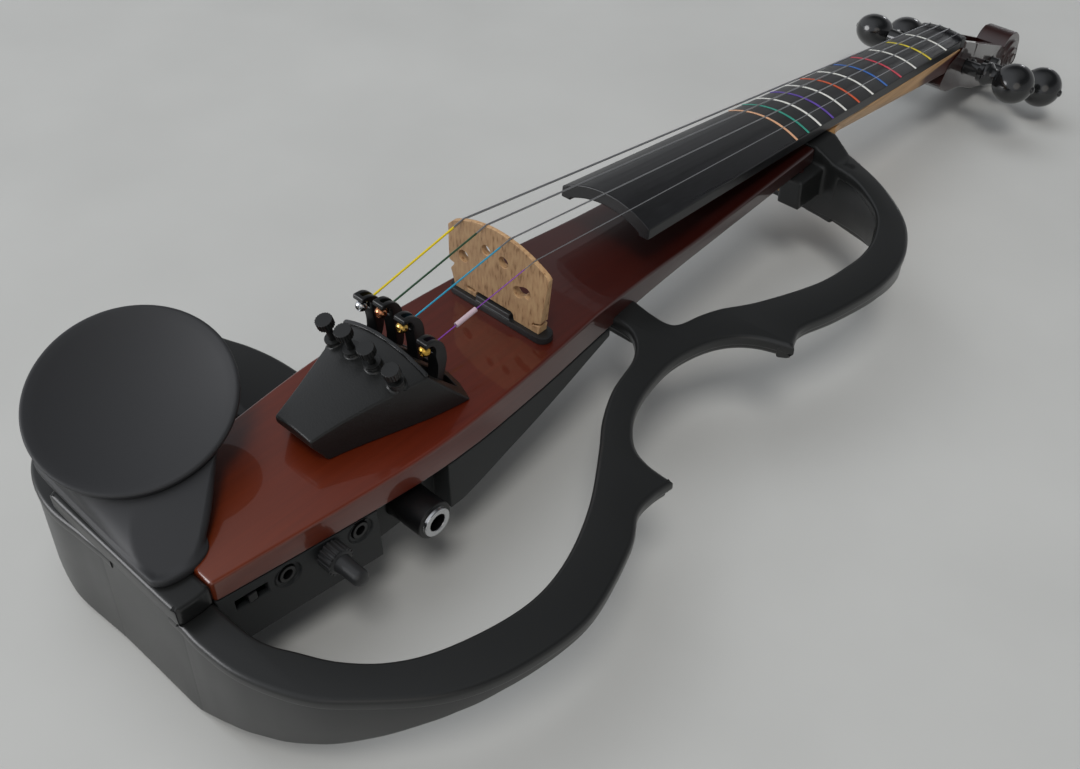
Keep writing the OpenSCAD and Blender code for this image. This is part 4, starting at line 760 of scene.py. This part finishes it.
# The treble side: its flange, its walls, the yoke that reaches under the neck, and the arm that
# reaches under the body. The last two are cut from the net at planes square to these ways. Walls
# stop CORNER_GAP points short of a corner, where they would cross.
CORNER_GAP = 3
TAILWARD, SCROLLWARD, TREBLEWARD, UPWARD, DOWNWARD = (0, -1, 0), (0, 1, 0), (1, 0, 0), (0, 0, 1), (0, 0, -1)
waist_line, upper_line = through(WAIST), through(UPPER_BOUT)
treble_loop = ([Vector((15, TAIL_EDGE))] + treble_rim + waist_line[1:] + upper_line[1:]
    + [Vector((14, YOKE_FRONT - 3)), Vector((14, 180))] + through(UPPER_WINDOW)[::-1]
    + through(LOWER_WINDOW)[::-1] + [Vector((15, TAIL_INNER))])
treble_shell = lay("treble_frame_shell", plate(treble_loop, FLANGE_UNDER, FLANGE_TOP, LIP),
    wall_under(treble_rim[:-CORNER_GAP]), wall_under(waist_line[CORNER_GAP:-CORNER_GAP]),
    wall_under(upper_line[CORNER_GAP:]),
    wall_under(through(UPPER_WINDOW[-4:])[::-1], FRAME_WALL + 1),
    cast_part("treble_frame", (TAILWARD, -159), (TREBLEWARD, 38), (DOWNWARD, 40.3)),
    cast_part("treble_frame", (SCROLLWARD, 50), (TAILWARD, -31), (TREBLEWARD, 36), (UPWARD, -16)))
fit(treble_shell, satin_black, "violin", "treble_frame")

wing_loop = (bass_rim + [Vector((-15, TAIL_EDGE)), Vector((-15, TAIL_INNER))] + through(WING_INNER)[::-1]
    + through(WING_FRONT)[::-1][:-1])
wing_shell = lay("bass_wing_shell", plate(wing_loop, FLANGE_UNDER, FLANGE_TOP, LIP), wall_under(bass_rim))
fit(wing_shell, satin_black, "violin", "bass_wing")

tail_bar = lay("tail_block_and_bar",
    plate(through(BAR_EDGE, 6, closed=True), FLANGE_TOP - 0.2, BAR_TOP, BAR_LIP),
    wall_under(tail_rim, BAR_WALL, FLANGE_TOP - 0.3))
fit(tail_bar, satin_black, "violin", "tail_block")
# Blackened steel: matt near black.
dress(moulded("blackened_steel_screw", "1a1a1b", 0.4, 0.3, 0.005), "frame_screws")

# ---- Chin rest ----
# Moulded in one piece with a soft matt coat: a round dished cup that flares out of a wide foot,
# which is screwed down through the tail bar. The cup leans in towards the strings.

# The cup in millimetres, with its turn about the upright axis and its tip, and the foot's plan.
CUP_MIDDLE, CUP_RADIUS, CUP_DISH, CUP_WALL = Vector((-38.6, -124.6, 19)), 33.5, 7.0, 2.6
CUP_TURN, CUP_TIP = math.radians(42.7), math.radians(19)
CUP_LEAN = Matrix.Rotation(-CUP_TURN, 3, "Z") @ Matrix.Rotation(CUP_TIP, 3, "Y")
RIM_WIDTH, RIM_DROP = 1.5, 0.12
FOOT_EDGE = [(13.6, -149), (13.4, -141), (9, -135), (-4, -132.5), (-28, -132), (-48, -133), (-56, -137.5),
    (-60, -144), (-59, -151.5), (-53, -154), (-25, -155), (5, -155.6), (11, -154.4)]
FOOT_MIDDLE = Vector((-22, -145))
FOOT_FLOOR, FOOT_TOP = -4.4, -1.6
# The foot's edge as (inward, height), and where the flare ends and the rim as (inward, height above
# the rim's plane).
FOOT_SECTION = [(2, FOOT_FLOOR), (0.2, FOOT_FLOOR), (0, FOOT_FLOOR + 0.5), (0, FOOT_TOP - 0.6),
    (0.25, FOOT_TOP - 0.15), (0.9, FOOT_TOP)]
FLARE_END = (0.5, -2.6)
RIM_SECTION = [(0, -1.7), (0, -0.6), (0.3, -RIM_DROP), (0.9, 0), (RIM_WIDTH, -RIM_DROP)]
# The flare leaves the foot inward by LEAD, and by more to the right, and pulls by LEAVE. Where the cup
# overhangs the foot, over HANG_RUN past HANG_START, it leaves outward and pulls more at the rim.
LEAD, LEAD_SWING, LEAVE, ARRIVE, HANG_ARRIVE = 0.16, 0.12, 0.7, 0.45, 0.35
HANG_START, HANG_RUN, HANG_OUT, HANG_UP = 4, 22, 0.75, 0.3
FLARE_STEPS, DISH_STEPS, TURNS = 14, 12, 180

def cup_at(angle, radius, height):
    """A point of the cup, by its angle about the violin's upright axis, its radius and height."""
    turn = angle + CUP_TURN
    return CUP_MIDDLE + CUP_LEAN @ Vector((radius * math.cos(turn), radius * math.sin(turn), height))

foot_line = through(FOOT_EDGE, 24, closed=True)
foot_steps = [(b - a).length for a, b in zip(foot_line, foot_line[1:] + foot_line[:1])]

def foot_at(angle, inward, height):
    """A point of the foot's edge, as far round it as the angle goes round the cup, moved inward."""
    left = (angle / (2 * math.pi) % 1.0) * sum(foot_steps)
    k = 0
    while left > foot_steps[k]:
        left -= foot_steps[k]
        k += 1
    a, b, c = foot_line[k - 1], foot_line[k], foot_line[(k + 1) % len(foot_line)]
    along = (c - a).normalized()
    spot = b + (c - b).normalized() * left + Vector((-along.y, along.x)) * inward
    return Vector((spot.x, spot.y, height))

def dish_depth(radius):
    """How far the dish lies below its edge."""
    share = min(1.0, radius / (CUP_RADIUS - RIM_WIDTH))
    return CUP_DISH * (1 - share ** 2)

def under_dish(point):
    """A point of the flare, kept a wall's thickness below the dish."""
    p = CUP_LEAN.inverted() @ (point - CUP_MIDDLE)
    p.z = min(p.z, -CUP_WALL - dish_depth(math.hypot(p.x, p.y)))
    return CUP_MIDDLE + CUP_LEAN @ p

def flare(angle):
    """The points of the rest's section from under the foot, up the flare, over the rim and down the dish."""
    low = [foot_at(angle, inside, height) for inside, height in FOOT_SECTION]
    rim = cup_at(angle, CUP_RADIUS - FLARE_END[0], FLARE_END[1])
    start, reach = low[-1], (rim - low[-1]).length
    inward = (low[0] - low[1]).normalized()
    lead = LEAD + LEAD_SWING * math.cos(angle)
    hang = between(0.0, 1.0, ((start - rim).dot(inward) - HANG_START) / HANG_RUN)
    grounded = inward * lead + Vector((0, 0, 1 - lead))
    hung = inward * -HANG_OUT + Vector((0, 0, HANG_UP))
    leave = (grounded * (1 - hang) + hung * hang) * reach * LEAVE
    outward = (cup_at(angle, CUP_RADIUS, -1) - cup_at(angle, CUP_RADIUS - 10, -4.5)).normalized()
    arrive = outward * reach * (ARRIVE + HANG_ARRIVE * hang)
    for t in (k / FLARE_STEPS for k in range(1, FLARE_STEPS)):
        low.append(under_dish(start * (2 * t ** 3 - 3 * t ** 2 + 1) + leave * (t ** 3 - 2 * t ** 2 + t)
            + rim * (3 * t ** 2 - 2 * t ** 3) + arrive * (t ** 3 - t ** 2)))
    low.append(rim)
    low += [cup_at(angle, CUP_RADIUS - inside, height) for inside, height in RIM_SECTION]
    for k in range(1, DISH_STEPS):
        radius = (CUP_RADIUS - RIM_WIDTH) * (1 - k / DISH_STEPS)
        low.append(cup_at(angle, radius, -RIM_DROP - dish_depth(radius)))
    return low

sections = [[at(*point) for point in flare(2 * math.pi * k / TURNS)] for k in range(TURNS)]
poles = at(*FOOT_MIDDLE, FOOT_FLOOR), at(*cup_at(0, 0, -RIM_DROP - CUP_DISH))
mesh = lofted("chin_cup_and_foot", zip(*sections), poles)
mesh.shade_smooth()
chin_cup = bpy.data.objects.new("chin_cup_and_foot", mesh)
bpy.context.scene.collection.objects.link(chin_cup)
# Soft coat: charcoal, almost without shine.
fit(chin_cup, moulded("soft_matt_coat", "262729", 0.6, 0.25, 0.008), "violin", "chin_rest")

# ---- Control housing ----
# A moulded ABS tray under the wood with a textured side panel. The line-out socket is a nickelled
# barrel in a notch, and the other sockets, the switch and the knob stand in the panel.

# Textured ABS: matt black. Nylon for the switch: darker and smoother.
panel_black = moulded("textured_panel_abs", "1c1e1f", 0.5, 0.3, 0.02)
switch_black = moulded("switch_nylon", "0f1011", 0.35, 0.3, 0.01)
fit(eased("control_housing", 0.5, 2, 35), panel_black, "violin", "control_housing")
fit(eased("battery_door", 0.4, 2), panel_black, "door", "battery_door")
fit(eased("power_switch", 0.3, 2), switch_black, "switch", "power_switch")

# Ribs round the knob's skirt: round bars set round a circle, half sunk in the skirt.
RIB_RADIUS, RIB_SIDES = 0.55, 10
ribs, entry, leave = group_of("skirt_ribs", Radius="Float", Length="Float", Count="Int", Plastic="Material")
circle = add(ribs, "GeometryNodeMeshCircle",
    inputs={"Vertices": entry.outputs["Count"], "Radius": entry.outputs["Radius"]})
bar = add(ribs, "GeometryNodeMeshCylinder",
    inputs={"Vertices": RIB_SIDES, "Radius": RIB_RADIUS, "Depth": entry.outputs["Length"]})
placed = add(ribs, "GeometryNodeInstanceOnPoints",
    inputs={"Points": circle.outputs["Mesh"], "Instance": bar.outputs["Mesh"]})
solid = add(ribs, "GeometryNodeRealizeInstances", inputs={"Geometry": placed.outputs["Instances"]})
coated = add(ribs, "GeometryNodeSetMaterial",
    inputs={"Geometry": solid.outputs["Geometry"], "Material": entry.outputs["Plastic"]})
ribs.links.new(coated.outputs["Geometry"], leave.inputs["Geometry"])

# The knob: dark grey ABS with a soft shine, turned from this profile of (x, radius) about KNOB_MIDDLE.
KNOB_MIDDLE, SKIRT_X = (0, -106.5, -18.4), 30.4
SKIRT_RADIUS, RIB_LENGTH, RIB_COUNT = 4.5, 5.6, 18
KNOB_PROFILE = [(12, 1.3), (12.2, 1.5), (27.5, 1.5), (27.6, 4.5), (27.9, 4.8), (32.6, 4.7), (33.3, 4.2),
    (33.6, 3.3), (36, 3.1), (42, 3.0), (43, 2.7), (43.6, 2.0), (43.85, 0.9)]
knob_plastic = moulded("knob_abs", "242526", 0.36, 0.3, 0.01)
mesh = grown("skirt_ribs", ribs, Radius=SKIRT_RADIUS, Length=RIB_LENGTH, Count=RIB_COUNT,
    Plastic=knob_plastic)
mesh.transform(Matrix.Translation((SKIRT_X, *KNOB_MIDDLE[1:])) @ Matrix.Rotation(math.pi / 2, 4, "Y"))
knob = lay("ribbed_knob", mesh, turned(KNOB_PROFILE, KNOB_MIDDLE))
fit(knob, knob_plastic, "volume", "volume_knob")

# Moulded sockets: deep black. Bright nickel on the line-out barrel's face: white metal, sharp shine.
FACE_DEPTH = 0.0012
socket_black = moulded("socket_pbt", "0c0c0d", 0.3, 0.3, 0.005)
for name in ("phones_socket", "aux_socket"):
    fit(eased(name, 0.2, 2), socket_black, "violin", name)
barrel = fit(eased("line_out_socket", 0.4, 3), socket_black, "violin", "line_out_socket")
barrel.data.materials.append(plain_finish("bright_nickel", "c9cacc", Metallic=1.0, Roughness=0.18))
face_x = max(v.co.x for v in barrel.data.vertices)
for face in barrel.data.polygons:
    face.material_index = 1 if face.center.x > face_x - FACE_DEPTH else 0

# Inside the tray: printed green cells, a green board under its mask, and yellow plated springs.
dress(moulded("printed_cell_skin", "2c5a3c", 0.3, 0.5, 0.002), "batteries")
dress(moulded("green_solder_mask", "15472b", 0.3, 0.4, 0.004), "circuit_board")
dress(plain_finish("plated_spring_brass", "c9b27a", Metallic=1.0, Roughness=0.3), "battery_contacts")
